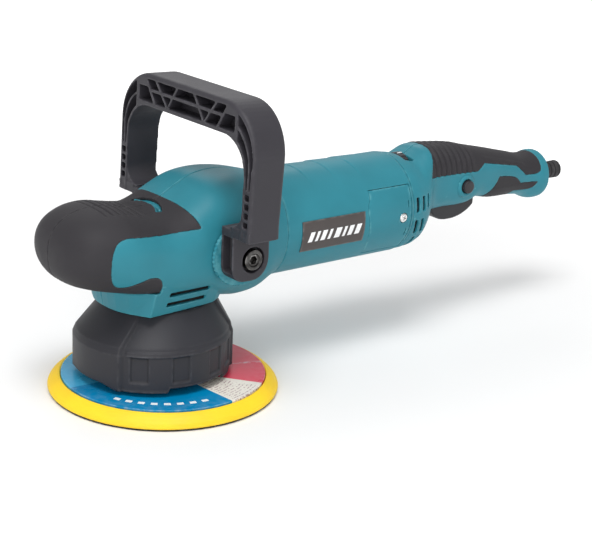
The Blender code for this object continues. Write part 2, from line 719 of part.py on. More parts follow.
def make_rear_housing():
    """The two halves of the rear grip, with their moulded-on rubber."""
    last_room = FLANGE_X - 4.5
    for name, side in (("left", -1.0), ("right", 1.0)):
        shell = body("rear_housing_" + name, REAR)
        room = body("inside", [row for row in REAR if row[0] < last_room], 3.9, None, 0.0)
        join(room, rod("mouth", 31.1, 180.0, 194.0, (0.0, 0.0, MOTOR_Z), "X", 28))
        for region in (GRIP_RUBBER, PALM_RUBBER):
            pocket = prism("pocket", region, -50.0, 50.0)
            cut(pocket, body("under", REAR, RUBBER + GAP, None, 4.0))
            cut(shell, pocket)
        cut(
            shell,
            room,
            box("trigger_way", (229.0, -8.6, 60.0), (277.0, 8.6, 100.0)),
            box("dial_way", (199.0, -11.5, 118.0), (207.0, 11.5, 150.0)),
            rod("gland_way", 7.2, 330.0, 360.0, (0.0, 0.0, CORD_Z), "X", 20),
        )
        if side < 0:
            centre = (LOCK_X, 0.0, LOCK_Z)
            join(shell, rod("button_rim", 7.4, -21.9, -17.4, centre, "Y", 22))
            cut(shell, rod("button_way", 5.0, -30.0, -10.0, centre, "Y", 24))
        near, far = sorted((side * 10.0, side * 45.0))
        for x in (194.5, 200.0):
            for low, high in ((97.0, 110.0), (80.0, 91.0)):
                cut(shell, box("vent", (x, near, low), (x + 2.4, far, high)))
        half_cut(shell, side)
        finish(shell, TEAL, 0.42)
        for title, region in (("grip_rubber_", GRIP_RUBBER), ("palm_rubber_", PALM_RUBBER)):
            rubber = prism(title + name, inset_outline(region, GAP), -50.0, 50.0)
            keep(rubber, body("skin", REAR, 0.0, None, 1.0))
            cut(rubber, body("under", REAR, RUBBER, None, 4.0))
            half_cut(rubber, side)
            finish(rubber, CHARCOAL, 0.7)


def make_controls():
    """Trigger and its pin, the switch, the lock button and the speed dial."""
    pivot = (TRIGGER_PIVOT[0], 0.0, TRIGGER_PIVOT[1])
    outline = [
        (231.5, 94.0), (232.0, 86.0), (238.0, 81.4), (248.0, 79.4), (258.0, 79.8), (267.0, 82.4),
        (273.6, 86.6), (274.6, 98.0), (273.0, 103.6), (265.0, 103.6), (262.0, 95.4), (240.0, 95.4),
    ]
    trigger = prism("trigger", outline, -8.0, 8.0)
    cut(trigger, rod("pin_way", 1.8, -20.0, 20.0, pivot, "Y", 14))
    finish(trigger, CHARCOAL, 0.5)
    set_pivot(trigger, pivot)
    finish(rod("trigger_pin", 1.5, -9.6, 9.6, pivot, "Y", 14), STEEL, 0.3, 1.0)
    line = (246.0, 0.0, 0.0)
    switch = prism("switch_body", rounded_box((236.0, 104.0), (262.0, 123.0), 1.5, 1), -7.5, 7.5)
    cut(switch, rod("plunger_way", 2.6, 100.0, 116.0, line, steps=16))
    finish(switch, NYLON, 0.5)
    plunger = turned("switch_plunger", [
        (0.0, 96.6), (4.6, 96.6), (4.6, 98.0), (2.3, 98.0), (2.3, 110.0), (0.0, 110.0),
    ], line, steps=16)
    finish(plunger, NYLON, 0.5)
    finish(coil("trigger_spring", line, 3.6, 0.45, 98.9, 103.2, 3.0), STEEL, 0.3, 1.0)
    line = (LOCK_X, 0.0, LOCK_Z)
    button = turned("lock_button", [
        (0.0, -11.6), (4.7, -11.6), (4.7, -23.6), (4.2, -24.3), (0.0, -24.6),
    ], line, "Y", 24)
    finish(button, CHARCOAL, 0.5)
    set_pivot(button, line)
    line = (0.0, 0.0, DIAL_Z)
    dial = ring("speed_dial", 2.0, 12.6, DIAL_X - 3.0, DIAL_X + 3.0, line, "X", 30)
    finish(dial, CHARCOAL, 0.45)
    set_pivot(dial, (DIAL_X, 0.0, DIAL_Z))
    board = prism("speed_controller", rounded_box((209.0, 108.0), (224.0, 128.0), 1.0, 1), -9.0, 9.0)
    finish(board, NYLON, 0.5)


def coil(name, base, radius, wire, low, high, turns):
    """A closed spring wire wound round the Z axis."""
    steps, sides = 12 * int(turns), 6
    rings = []
    for i in range(steps + 1):
        turn = math.tau * turns * i / steps
        height = low + (high - low) * i / steps
        row = []
        for k in range(sides):
            spin = math.tau * k / sides
            reach = radius + wire * math.cos(spin)
            row.append((
                base[0] + reach * math.cos(turn), base[1] + reach * math.sin(turn),
                height + wire * math.sin(spin),
            ))
        rings.append(row)
    return loft(name, rings)


def make_cord_end():
    """The moulded gland in the flange and the clamp behind it."""
    line = (0.0, 0.0, CORD_Z)
    gland = turned("cord_gland", [
        (3.7, 330.0), (9.5, 330.0), (9.5, 334.0), (6.9, 334.0), (6.9, 345.0), (6.5, 346.0),
        (6.1, GLAND_END - 0.8), (5.3, GLAND_END), (3.7, GLAND_END),
    ], line, "X", 24)
    finish(gland, BLACK, 0.6)
    clamp = box("cord_clamp", (318.0, -9.0, CORD_Z - 3.4), (326.0, 9.0, CORD_Z - 0.6))
    finish(clamp, NYLON, 0.5)
    finish(rod("capacitor", 5.5, 286.0, 308.0, line, "X", 20), BRASS, 0.4)


def main():
    for obj in list(bpy.data.objects):
        bpy.data.objects.remove(obj)
    make_pad()
    make_orbit_drive()
    make_output()
    make_gear_case()
    make_skirt()
    make_head()
    make_bail()
    make_motor()
    make_brushes()
    make_nameplate()
    make_rear_housing()
    make_controls()
    make_cord_end()
    for obj in bpy.data.objects:
        obj.location.z -= DATUM * MM


main()
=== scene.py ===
import math

import bmesh
import bpy
import numpy as np
from mathutils import Matrix, Vector


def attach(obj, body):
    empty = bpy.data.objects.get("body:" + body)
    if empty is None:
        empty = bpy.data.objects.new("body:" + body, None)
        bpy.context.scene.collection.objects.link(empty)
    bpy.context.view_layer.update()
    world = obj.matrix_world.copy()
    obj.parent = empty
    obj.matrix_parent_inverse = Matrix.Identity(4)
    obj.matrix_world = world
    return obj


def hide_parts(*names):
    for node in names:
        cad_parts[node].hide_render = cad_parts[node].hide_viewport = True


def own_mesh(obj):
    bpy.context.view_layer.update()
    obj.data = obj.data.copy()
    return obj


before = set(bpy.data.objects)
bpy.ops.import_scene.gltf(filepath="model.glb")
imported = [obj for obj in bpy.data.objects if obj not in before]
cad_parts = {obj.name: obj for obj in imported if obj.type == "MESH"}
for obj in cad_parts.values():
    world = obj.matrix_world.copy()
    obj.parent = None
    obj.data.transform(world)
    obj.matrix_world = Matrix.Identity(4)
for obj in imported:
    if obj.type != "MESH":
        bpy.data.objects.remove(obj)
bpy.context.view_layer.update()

# The studio: a pale floor that glows a little away from the tool, a painted brightening that leaves a painted
# shadow round the tool, and is clear from below, a bright surround with a lamp above, one in front and one
# behind, and a camera off the nose's left side.
FLOOR_HALF, FLOOR_DROP, FLOOR_GREY = 7.0, 0.0002, 0.90
GLOW_MIDDLE = (0.16, 0.02, 0.0)
GLOW_START, GLOW_END, GLOW_MOST = 0.20, 0.75, 0.45
SURROUND = 0.56


def fill(tree, node, inputs):
    """Give a node's inputs their values, or link them to the sockets that feed them."""
    for key, value in inputs.items():
        if isinstance(value, bpy.types.NodeSocket):
            tree.links.new(value, node.inputs[key])
        else:
            node.inputs[key].default_value = value
    return node


def add(tree, kind, inputs=None, **settings):
    """A shader node with its settings and its inputs."""
    made = tree.nodes.new("ShaderNode" + kind)
    for key, value in settings.items():
        setattr(made, key, value)
    return fill(tree, made, inputs or {})


def blank(name):
    """A new material: its node tree and its Principled shader."""
    material = bpy.data.materials.new(name)
    material.use_nodes = True
    return material, material.node_tree, material.node_tree.nodes["Principled BSDF"]


floor_mesh = bpy.data.meshes.new("floor")
floor_corners = [(x * FLOOR_HALF, y * FLOOR_HALF, -FLOOR_DROP)
                 for x, y in ((-1, -1), (1, -1), (1, 1), (-1, 1))]
floor_mesh.from_pydata(floor_corners, [], [(0, 1, 2, 3)])
floor = bpy.data.objects.new("floor", floor_mesh)
bpy.context.collection.objects.link(floor)
floor_paint, tree, shader = blank("floor_paint")
# Painted light: the floor's glow grows with the distance from a spot under the tool, which leaves a painted
# shadow there.
spot = add(tree, "TexCoord").outputs["Object"]
away = add(tree, "VectorMath", {0: spot, 1: GLOW_MIDDLE}, operation="DISTANCE").outputs["Value"]
glow = add(tree, "MapRange", {0: away, 1: GLOW_START, 2: GLOW_END, 3: 0.0, 4: GLOW_MOST},
           interpolation_type="SMOOTHSTEP").outputs[0]
fill(tree, shader, {
    "Base Color": (FLOOR_GREY, FLOOR_GREY, FLOOR_GREY, 1.0), "Roughness": 0.9, "Specular IOR Level": 0.1,
    "Emission Color": (1.0, 1.0, 1.0, 1.0), "Emission Strength": glow})
from_below = add(tree, "NewGeometry").outputs["Backfacing"]
clear = add(tree, "BsdfTransparent").outputs[0]
either = add(tree, "MixShader", {0: from_below, 1: shader.outputs[0], 2: clear}).outputs[0]
tree.links.new(either, tree.nodes["Material Output"].inputs["Surface"])
floor.data.materials.append(floor_paint)

world = bpy.data.worlds.new("surround")
bpy.context.scene.world = world
world.use_nodes = True
world_light = world.node_tree.nodes["Background"]
fill(world.node_tree, world_light, {"Color": (1.0, 1.0, 1.0, 1.0), "Strength": SURROUND})
bpy.context.scene.view_settings.view_transform = "Standard"

TARGET = Vector((0.12, 0.0, 0.07))
for title, spot, width, power in (
    ("key_lamp", (-0.38, -0.52, 1.75), 0.8, 20.0),
    ("front_fill", (-1.4, -1.5, 0.75), 1.0, 10.5),
    ("back_rim", (0.9, 1.2, 1.2), 0.8, 4.0),
):
    lamp_data = bpy.data.lights.new(title, "AREA")
    lamp_data.size = width
    lamp_data.energy = power
    lamp = bpy.data.objects.new(title, lamp_data)
    lamp.location = spot
    lamp.rotation_euler = (TARGET - Vector(spot)).to_track_quat("-Z", "Y").to_euler()
    bpy.context.collection.objects.link(lamp)

CAMERA_LENS = 91.7
CAMERA_SPOT = (-0.4984, -0.7694, 0.3867)
CAMERA_TURN, CAMERA_DOWN, CAMERA_ROLL = -38.6, 18.42, 2.64
camera_data = bpy.data.cameras.new("camera")
camera_data.lens = CAMERA_LENS
camera_data.clip_start = 0.05
camera = bpy.data.objects.new("camera", camera_data)
camera.location = CAMERA_SPOT
camera.rotation_mode = "QUATERNION"
camera.rotation_quaternion = (
    Matrix.Rotation(math.radians(CAMERA_TURN), 3, "Z")
    @ Matrix.Rotation(math.radians(90.0 - CAMERA_DOWN), 3, "X")
    @ Matrix.Rotation(math.radians(CAMERA_ROLL), 3, "Z")).to_quaternion()
bpy.context.collection.objects.link(camera)
bpy.context.scene.camera = camera

# The pad: yellow polyurethane foam skinned in its mould, a fibre plate with a printed film glued
# in its top, and black nylon hook cloth glued under it. It turns on its own spindle, 7.5 mm off
# the drive's axis. Sizes from here on are in millimetres, and heights start at the mould's datum.
MM = 0.001
DATUM = 2.4
ORBIT = 7.5
ORBIT_TURN = math.radians(-52.0)
PAD_CENTRE = (ORBIT * math.cos(ORBIT_TURN), ORBIT * math.sin(ORBIT_TURN), 0.0)
PAD_R = 75.0
PLATE_R = 66.3


def facing_out(mesh, weld=False):
    """Turn the faces outwards, and weld the points that fall together, as at a lathe's centre."""
    bm = bmesh.new()
    bm.from_mesh(mesh)
    if weld:
        bmesh.ops.remove_doubles(bm, verts=bm.verts, dist=1e-7)
    bmesh.ops.recalc_face_normals(bm, faces=bm.faces)
    bm.to_mesh(mesh)
    bm.free()


def solid(name, verts, faces):
    """A mesh object from points in millimetres above the datum, its faces turned outwards."""
    mesh = bpy.data.meshes.new(name)
    mesh.from_pydata([(x * MM, y * MM, (z - DATUM) * MM) for x, y, z in verts], [], faces)
    facing_out(mesh)
    obj = bpy.data.objects.new(name, mesh)
    bpy.context.collection.objects.link(obj)
    return obj


def grid_faces(rows, count, wrap_rows=False):
    """Quads over rows of points that each close on themselves."""
    faces = []
    for r in range(rows if wrap_rows else rows - 1):
        s = (r + 1) % rows
        for i in range(count):
            j = (i + 1) % count
            faces.append((r * count + i, r * count + j, s * count + j, s * count + i))
    return faces


def capped(rows, count, base=0):
    """The faces of a body through rows of points, with a flat cap at each end."""
    faces = [tuple(base + i for i in face) for face in grid_faces(rows, count)]
    last = base + (rows - 1) * count
    return faces + [tuple(range(base, base + count)), tuple(range(last, last + count))]


def turned(name, profile, centre=(0.0, 0.0, 0.0), axis="Z", steps=96, shape=None):
    """Lathe work from (radius, height) points. Radius 0 at the ends closes it, else it is a ring."""
    place = {
        "X": lambda r, h, c, s: (h, r * c, r * s),
        "Y": lambda r, h, c, s: (r * c, h, r * s),
        "Z": lambda r, h, c, s: (r * c, r * s, h),
    }[axis]
    verts = []
    for radius, height in profile:
        for i in range(steps):
            turn = math.tau * i / steps
            reach = radius + (shape(turn, height, radius) if shape else 0.0)
            spot = place(reach, height, math.cos(turn), math.sin(turn))
            verts.append([p + q for p, q in zip(spot, centre)])
    closed = profile[0][0] > 0.0
    obj = solid(name, verts, grid_faces(len(profile), steps, closed))
    if not closed:
        facing_out(obj.data, True)
    return obj


def softened(profile, radius, steps=4):
    """The profile with each of its corners rounded by up to that radius."""
    points = [Vector(p) for p in profile]
    out = [tuple(points[0])]
    for before, here, after in zip(points, points[1:], points[2:]):
        one, two = before - here, after - here
        reach = min(radius, one.length * 0.45, two.length * 0.45)
        start, end = here + one.normalized() * reach, here + two.normalized() * reach
        for i in range(steps + 1):
            t = i / steps
            out.append(tuple((1 - t) ** 2 * start + 2 * t * (1 - t) * here + t * t * end))
    return out + [tuple(points[-1])]


def maths(tree, how, *values):
    """What one Math node makes of the values."""
    return add(tree, "Math", dict(enumerate(values)), operation=how).outputs[0]


def ranged(tree, value, *ends):
    """The value carried from its own range to another, which is 0 to 1 if left out."""
    return add(tree, "MapRange", {0: value, **dict(enumerate(ends, 1))}).outputs[0]


def effect(name, takes, gives):
    """A node group with its own inputs and outputs: the tree, what it takes and its end node."""
    tree = bpy.data.node_groups.new(name, "ShaderNodeTree")
    for key, value in takes.items():
        kind = "NodeSocketColor" if isinstance(value, tuple) else "NodeSocketFloat"
        tree.interface.new_socket(key, in_out="INPUT", socket_type=kind).default_value = value
    for key, kind in gives.items():
        tree.interface.new_socket(key, in_out="OUTPUT", socket_type="NodeSocket" + kind)
    return tree, tree.nodes.new("NodeGroupInput").outputs, tree.nodes.new("NodeGroupOutput")


def scaled(tree, size_mm):
    """Object coordinates counted in steps of that many millimetres, given as a socket."""
    spot = add(tree, "TexCoord").outputs["Object"]
    count = maths(tree, "DIVIDE", 1.0 / MM, size_mm)
    return add(tree, "VectorMath", {0: spot, "Scale": count}, operation="SCALE").outputs[0]


def noise(tree, size_mm, detail):
    """Cloudy noise with features of about that many millimetres."""
    return add(tree, "TexNoise", {"Vector": scaled(tree, size_mm), "Scale": 1.0, "Detail": detail}).outputs[0]


# Mould grain: the fine spark texture and slow waviness that a mould leaves on plastic or rubber.
grain, take, out = effect(
    "Mould Grain", {"Size": 0.6, "Waviness": 0.3}, {"Height": "Float", "Speckle": "Float"})
fine = noise(grain, take["Size"], 3.0)
wave = maths(grain, "MULTIPLY", noise(grain, 14.0, 1.0), take["Waviness"])
fill(grain, out, {"Height": maths(grain, "ADD", fine, wave), "Speckle": fine})

# Edge wear and crease shade: pale rubbed edges from the mesh's own convexity, and a mask for painted shade in
# its creases.
FLAT_LOW, FLAT_HIGH = 0.495, 0.505
wear_and_shade, take, out = effect("Edge Wear And Crease Shade", {"Reach": 0.06}, {"Edge": "Float", "Crease Shade": "Float"})
bend = add(wear_and_shade, "NewGeometry").outputs["Pointiness"]
edge = ranged(wear_and_shade, bend, FLAT_HIGH, maths(wear_and_shade, "ADD", FLAT_HIGH, take["Reach"]))
# Painted shade: the concave creases, where shade falls.
crease_shade = ranged(wear_and_shade, bend, FLAT_LOW, maths(wear_and_shade, "SUBTRACT", FLAT_LOW, take["Reach"]))
broken = ranged(wear_and_shade, noise(wear_and_shade, 5.0, 4.0), 0.40, 0.62)
fill(wear_and_shade, out, {"Edge": maths(wear_and_shade, "MULTIPLY", edge, broken), "Crease Shade": crease_shade})

# Handling: broad patches where hands have polished the surface or left it a little dull.
handling, take, out = effect(
    "Handling", {"Spread": 30.0, "Low": 0.4, "High": 0.5}, {"Roughness": "Float", "Tone": "Float"})
smear = noise(handling, take["Spread"], 5.0)
level = ranged(handling, smear, 0.3, 0.7, take["Low"], take["High"])
fill(handling, out, {"Roughness": level, "Tone": smear})


def placed(tree, group, **values):
    """One of the shared effects put into a material with its own values."""
    made = add(tree, "Group", node_tree=group)
    for key, value in values.items():
        made.inputs[key].default_value = value
    return made.outputs


def mixed(tree, factor, one, two, how="MIX"):
    """Two colours mixed, each a colour or a socket."""
    return add(tree, "Mix", {0: factor, 6: one, 7: two}, data_type="RGBA", blend_type=how).outputs[2]


def part_of(colour, share):
    """The colour at that share of its strength."""
    return tuple(share * c for c in colour) + (1.0,)


def moulding(name, colour, worn, low, high, size=0.6, depth=0.10, waviness=0.3, specular=0.5,
             paint=None):
    """Moulded plastic or rubber: toned colour, rubbed edges, painted shade in creases and grain. Its
    roughness runs from low to high, and size and depth are the grain's, in millimetres."""
    material, tree, shader = blank(name)
    touched = placed(tree, handling, Low=low, High=high)
    wear_and_shade_masks = placed(tree, wear_and_shade)
    texture = placed(tree, grain, Size=size, Waviness=waviness)
    base = paint(tree) if paint else (*colour, 1.0)
    tone = ranged(tree, touched["Tone"], 0.3, 0.7, 0.92, 1.07)
    shade = add(tree, "CombineColor", {0: tone, 1: tone, 2: tone}).outputs[0]
    base = mixed(tree, 1.0, base, shade, "MULTIPLY")
    base = mixed(tree, maths(tree, "MULTIPLY", wear_and_shade_masks["Edge"], 0.55), base, (*worn, 1.0))
    # Painted shade: creases darkened towards a small share of the colour.
    base = mixed(tree, maths(tree, "MULTIPLY", wear_and_shade_masks["Crease Shade"], 0.85), base, part_of(colour, 0.12))
    bump = add(tree, "Bump", {"Strength": 1.0, "Distance": depth * MM, "Height": texture["Height"]})
    fill(tree, shader, {"Base Color": base, "Roughness": touched["Roughness"], "Normal": bump.outputs[0],
                        "Specular IOR Level": specular})
    return material


def dressed(obj, material, sharp=40.0):
    """Smooth shading that keeps true corners, and the piece's own material."""
    obj.data.shade_smooth()
    obj.data.set_sharp_from_angle(angle=math.radians(sharp))
    obj.data.materials.clear()
    obj.data.materials.append(material)
    return obj


def fitted(obj, body_name, slot_name, *nodes):
    """Say what the piece moves with and which plain solids it stands for; the finish's name, slot_name, is
    not used.
    """
    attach(obj, body_name)
    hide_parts(*nodes)
    return obj


FOAM_LOW = 3.6
PLATE_SEAT = 9.6
foam_profile = softened([
    (0.0, FOAM_LOW), (PAD_R - 0.5, FOAM_LOW), (PAD_R, 4.7), (PAD_R - 0.9, 6.9), (PAD_R - 3.9, 9.9),
    (PLATE_R + 1.4, 12.1), (PLATE_R + 0.4, 11.7), (PLATE_R + 0.4, PLATE_SEAT), (0.0, PLATE_SEAT)], 0.9, 5)
foam_skin = moulding(
    "foam_skin", (1.0, 0.66, 0.012), (1.0, 0.76, 0.10),
    low=0.50, high=0.66, size=0.35, depth=0.05, waviness=0.6)
pad_foam = dressed(turned("foam_pad", foam_profile, PAD_CENTRE, steps=220), foam_skin)
fitted(pad_foam, "pad", "pad_foam", "pad_foam")


def banded(tree, value, bands):
    """Plain colours side by side, each from its own place on."""
    node = add(tree, "ValToRGB", {0: value})
    node.color_ramp.interpolation = "CONSTANT"
    stops = node.color_ramp.elements
    for i, (place, colour) in enumerate(bands):
        stop = stops[i] if i < 2 else stops.new(place)
        stop.position = place
        stop.color = colour
    return node.outputs[0]


def all_of(tree, *masks):
    """A mask that is 1 only where all of the masks are."""
    whole = masks[0]
    for mask in masks[1:]:
        whole = maths(tree, "MULTIPLY", whole, mask)
    return whole


DASH_COUNT, DASH_SHARE = 44.0, 0.52
DASH_RING, DASH_HALF = 57.6, 1.5
RULES_PER_MM, RULE_SHARE = 0.42, 0.35
PALE, RED = (0.80, 0.76, 0.68, 1.0), (0.68, 0.040, 0.085, 1.0)
BLUE, SKY = (0.0, 0.22, 0.46, 1.0), (0.04, 0.40, 0.68, 1.0)
FIELDS = ((0.0, BLUE), (0.268, PALE), (0.355, RED), (0.56, BLUE), (0.80, PALE), (0.84, SKY), (0.985, BLUE))


def printed_film(tree):
    """Colour fields by angle round the pad, with plain pale dashes and rules in place of words."""
    spot = add(tree, "TexCoord").outputs["Object"]
    back = [-c * MM for c in PAD_CENTRE]
    moved = add(tree, "VectorMath", {0: spot, 1: back}, operation="ADD").outputs[0]
    axes = add(tree, "SeparateXYZ", {0: moved}).outputs
    share = ranged(tree, maths(tree, "ARCTAN2", axes[1], axes[0]), -math.pi, math.pi)
    reach = add(tree, "VectorMath", {0: moved}, operation="LENGTH").outputs[1]
    phase = maths(tree, "FRACT", maths(tree, "MULTIPLY", share, DASH_COUNT))
    dashes = all_of(
        tree, maths(tree, "LESS_THAN", phase, DASH_SHARE),
        maths(tree, "COMPARE", reach, DASH_RING * MM, DASH_HALF * MM),
        maths(tree, "GREATER_THAN", share, 0.06), maths(tree, "LESS_THAN", share, 0.24))
    base = mixed(tree, dashes, banded(tree, share, FIELDS), (0.86, 0.90, 0.92, 1.0))
    lines = maths(tree, "FRACT", maths(tree, "MULTIPLY", reach, RULES_PER_MM / MM))
    rules = all_of(
        tree, maths(tree, "LESS_THAN", lines, RULE_SHARE),
        maths(tree, "COMPARE", share, 0.309, 0.034),
        maths(tree, "GREATER_THAN", noise(tree, 1.6, 2.0), 0.5))
    return mixed(tree, rules, base, (0.42, 0.30, 0.30, 1.0))


plate_profile = softened([
    (0.0, 9.9), (PLATE_R, 9.9), (PLATE_R, 13.0), (17.0, 13.0), (15.0, 16.0), (0.0, 16.0)], 0.5)
pad_plate = turned("plate_print", plate_profile, PAD_CENTRE, steps=200)
dressed(pad_plate, moulding(
    "printed_plate", (0.0, 0.27, 0.62), (0.75, 0.80, 0.85),
    low=0.22, high=0.34, size=1.2, depth=0.02, waviness=0.5, specular=0.25, paint=printed_film))
fitted(pad_plate, "pad", "pad_print", "pad_plate")

hook_cloth, tree, shader = blank("hook_cloth")
loops = add(tree, "TexVoronoi", {"Vector": scaled(tree, 0.9), "Scale": 1.0})
tufts = add(tree, "ValToRGB", {0: loops.outputs[0]})
tufts.color_ramp.elements[0].color = (0.030, 0.030, 0.032, 1.0)
tufts.color_ramp.elements[1].color = (0.004, 0.004, 0.005, 1.0)
pile = add(tree, "Bump", {"Strength": 1.0, "Distance": 0.5 * MM, "Height": loops.outputs[0]},
           invert=True)
fill(tree, shader, {"Base Color": tufts.outputs[0], "Normal": pile.outputs[0], "Roughness": 0.95,
                    "Sheen Weight": 0.3})
hook_face = turned("hook_sheet", softened([
    (0.0, 2.4), (PAD_R - 1.0, 2.4), (PAD_R - 1.0, 3.3), (0.0, 3.3)], 0.35), PAD_CENTRE, steps=200,
    shape=lambda t, h, r: 0.12 * math.sin(61.0 * t) + 0.1 * math.sin(23.0 * t) if r > 1.0 else 0.0)
dressed(hook_face, hook_cloth)
fitted(hook_face, "pad", "hook_pile", "hook_face")

# The skirt: a black nylon shroud moulded in one piece, clipped under the head. Shields stand
# proud at front and back, shallow pockets run round its wall, and its lower rim is notched.
SKIRT_R = 50.9
SKIRT_FOOT = 15.5
SKIRT_TOP = 62.6
INNER_R = 48.2
TOP_SHIFT = 3.4
SHOULDER = 42.0
SHIELD_HALF = 33.0
POCKETS = (-132.5, -101.5, -70.0, -49.0, 49.0, 70.0, 101.5, 132.5)


def step_up(value, start, end):
    """0 before start, 1 after end, and a smooth slope between."""
    t = min(1.0, max(0.0, (value - start) / (end - start)))
    return t * t * (3.0 - 2.0 * t)


def window(value, low, high, soft):
    """1 between low and high, with soft ends."""
    return step_up(value, low - soft, low + soft) * (1.0 - step_up(value, high - soft, high + soft))


def skirt_relief(degrees, height):
    """How far the skirt's outside stands proud of its plain wall, in millimetres."""
    from_front = abs((degrees + 360.0) % 360.0 - 180.0)
    from_back = 180.0 - from_front
    slant = 5.0 * step_up(height, SHOULDER, 62.0)
    proud = 0.0
    for away in (from_front, from_back):
        proud += 1.9 * (1.0 - step_up(away, SHIELD_HALF + slant - 1.0, SHIELD_HALF + slant + 3.0))
    for middle in POCKETS:
        deep = window(degrees, middle - 6.6, middle + 6.6, 0.7) * window(height, 22.5, 39.0, 0.5)
        proud -= 1.1 * deep
    ledge = window(height, 39.4, 42.6, 0.4) * window(from_front, 38.0, 142.0, 1.5)
    return proud + 0.5 * ledge


def skirt_rim(degrees):
    """Height of the notched lower rim at that angle."""
    rise = 0.0
    for low, high in ((-111.0, -60.0), (-46.0, -36.0), (28.0, 52.0), (74.0, 96.0), (128.0, 146.0)):
        rise += 2.8 * window(degrees, low, high, 0.8)
    front = 3.4 * window(abs((degrees + 360.0) % 360.0 - 180.0), -60.0, 25.0, 9.0)
    return SKIRT_FOOT + rise + front


skirt_steps = 600
skirt_rows = []
for k in range(36):
    skirt_rows.append((SKIRT_FOOT + (SHOULDER - SKIRT_FOOT) * k / 35, SKIRT_R, 0.0, True))
for k in range(1, 29):
    t = k / 28
    skirt_rows.append((SHOULDER + 20.4 * t, SKIRT_R - 13.6 * t, TOP_SHIFT * t, True))
for height, radius, shift in (
        (SKIRT_TOP, 36.8, TOP_SHIFT), (SKIRT_TOP, 34.4, TOP_SHIFT), (60.0, 36.4, TOP_SHIFT),
        (41.0, INNER_R, 0.0), (SKIRT_FOOT, INNER_R, 0.0)):
    skirt_rows.append((height, radius, shift, False))
skirt_points = []
for height, radius, shift, outside in skirt_rows:
    for i in range(skirt_steps):
        degrees = 360.0 * i / skirt_steps - 180.0
        turn = math.radians(degrees)
        rim = skirt_rim(degrees)
        z = max(height, rim + (height - SKIRT_FOOT) * 0.4) if height < rim + 6.0 else height
        reach = radius * (1.0 - 0.024 * shift * math.sin(turn) ** 2)
        if outside:
            bead = 0.35 * window(z, rim, rim + 1.6, 0.3)
            reach += min(skirt_relief(degrees, z) + bead, 1.9) - 1.0
            rim_round = 0.8 * (1.0 - step_up(abs(z - rim), 0.0, 0.9))
            shoulder_round = 0.9 * (1.0 - step_up(abs(z - SHOULDER), 0.0, 2.6))
            reach -= rim_round + shoulder_round
        skirt_points.append((shift + reach * math.cos(turn), reach * math.sin(turn), z))
skirt = solid("shroud", skirt_points, grid_faces(len(skirt_rows), skirt_steps, True))
black_nylon = moulding(
    "black_nylon", (0.028, 0.028, 0.034), (0.12, 0.12, 0.13),
    low=0.42, high=0.54, size=0.7, depth=0.07, waviness=0.5, specular=0.3)
dressed(skirt, black_nylon, 50.0)
fitted(skirt, "housing", "black_nylon", "skirt")

# The head: two teal nylon covers that close round the gear case on a centre seam, with a collar
# below that carries the skirt, two cooling slots a side and a round bead on top behind the palm.
SEAM = 0.15
BOLT_WAY_R = 3.3
BAIL_X = 35.5
BAIL_Z = 97.5
NOSE_END = -50.0
HEAD = [
    (-76.6, 103.05, 102.95, 0.1, 2.0, 2.0),
    (-75.8, 110.8, 95.8, 12.4, 2.0, 2.0), (-73.8, 116.2, 90.8, 20.8, 2.1, 2.1),
    (-70.4, 120.6, 87.0, 27.2, 2.2, 2.2), (-64.8, 124.6, 83.4, 32.8, 2.3, 2.3),
    (-57.2, 127.4, 80.6, 36.8, 2.4, 2.4), (-49.0, 128.8, 78.6, 39.3, 2.5, 2.6),
    (-40.0, 128.8, 76.8, 40.6, 2.6, 2.8), (-30.0, 127.0, 75.0, 41.2, 2.6, 3.4),
    (-20.0, 125.2, 73.5, 41.5, 2.6, 3.8), (-10.0, 124.4, 72.0, 42.0, 2.6, 4.0),
    (0.0, 127.6, 71.0, 42.2, 2.6, 4.0), (12.0, 134.0, 69.6, 42.2, 2.7, 3.8),
    (25.0, 140.0, 64.8, 41.8, 2.8, 3.2), (40.0, 142.3, 59.8, 40.4, 2.7, 2.5),
    (54.0, 141.4, 57.0, 38.6, 2.5, 2.2), (67.0, 138.6, 58.2, 37.2, 2.2, 2.1),
    (75.0, 136.6, 61.8, 36.2, 2.0, 2.0), (79.7, 135.8, 64.2, 35.7, 2.0, 2.0),
]
NOSE_RUBBER = [
    (-90.0, 140.0), (-22.0, 140.0), (2.0, 131.6), (6.6, 124.0), (9.0, 117.0), (9.0, 117.0),
    (-12.0, 115.4), (-30.0, 116.4), (-43.5, 118.0), (-50.3, 115.5), (-53.8, 109.0), (-54.6, 100.0),
    (-53.4, 92.4), (-49.2, 87.0), (-43.0, 86.0), (-35.0, 89.4), (-28.0, 91.8), (-21.5, 90.4),
    (-19.4, 84.6), (-20.0, 79.4), (-20.0, 79.4), (-42.0, 79.4), (-90.0, 70.0),
]


def eased(table, step):
    """A table's rows joined by smooth curves, with a new row about every step millimetres."""
    rows = np.array(table, float)
    run = np.concatenate([[0.0], np.cumsum(np.linalg.norm(np.diff(rows[:, :4], axis=0), axis=1))])
    slope = np.gradient(rows, run, axis=0)
    out = []
    for i in range(len(rows) - 1):
        span = run[i + 1] - run[i]
        count = max(1, round(span / step))
        for t in np.arange(count) / count:
            out.append((2 * t**3 - 3 * t**2 + 1) * rows[i] + (t**3 - 2 * t**2 + t) * span * slope[i]
                       + (3 * t**2 - 2 * t**3) * rows[i + 1] + (t**3 - t**2) * span * slope[i + 1])
    return out + [rows[-1]]


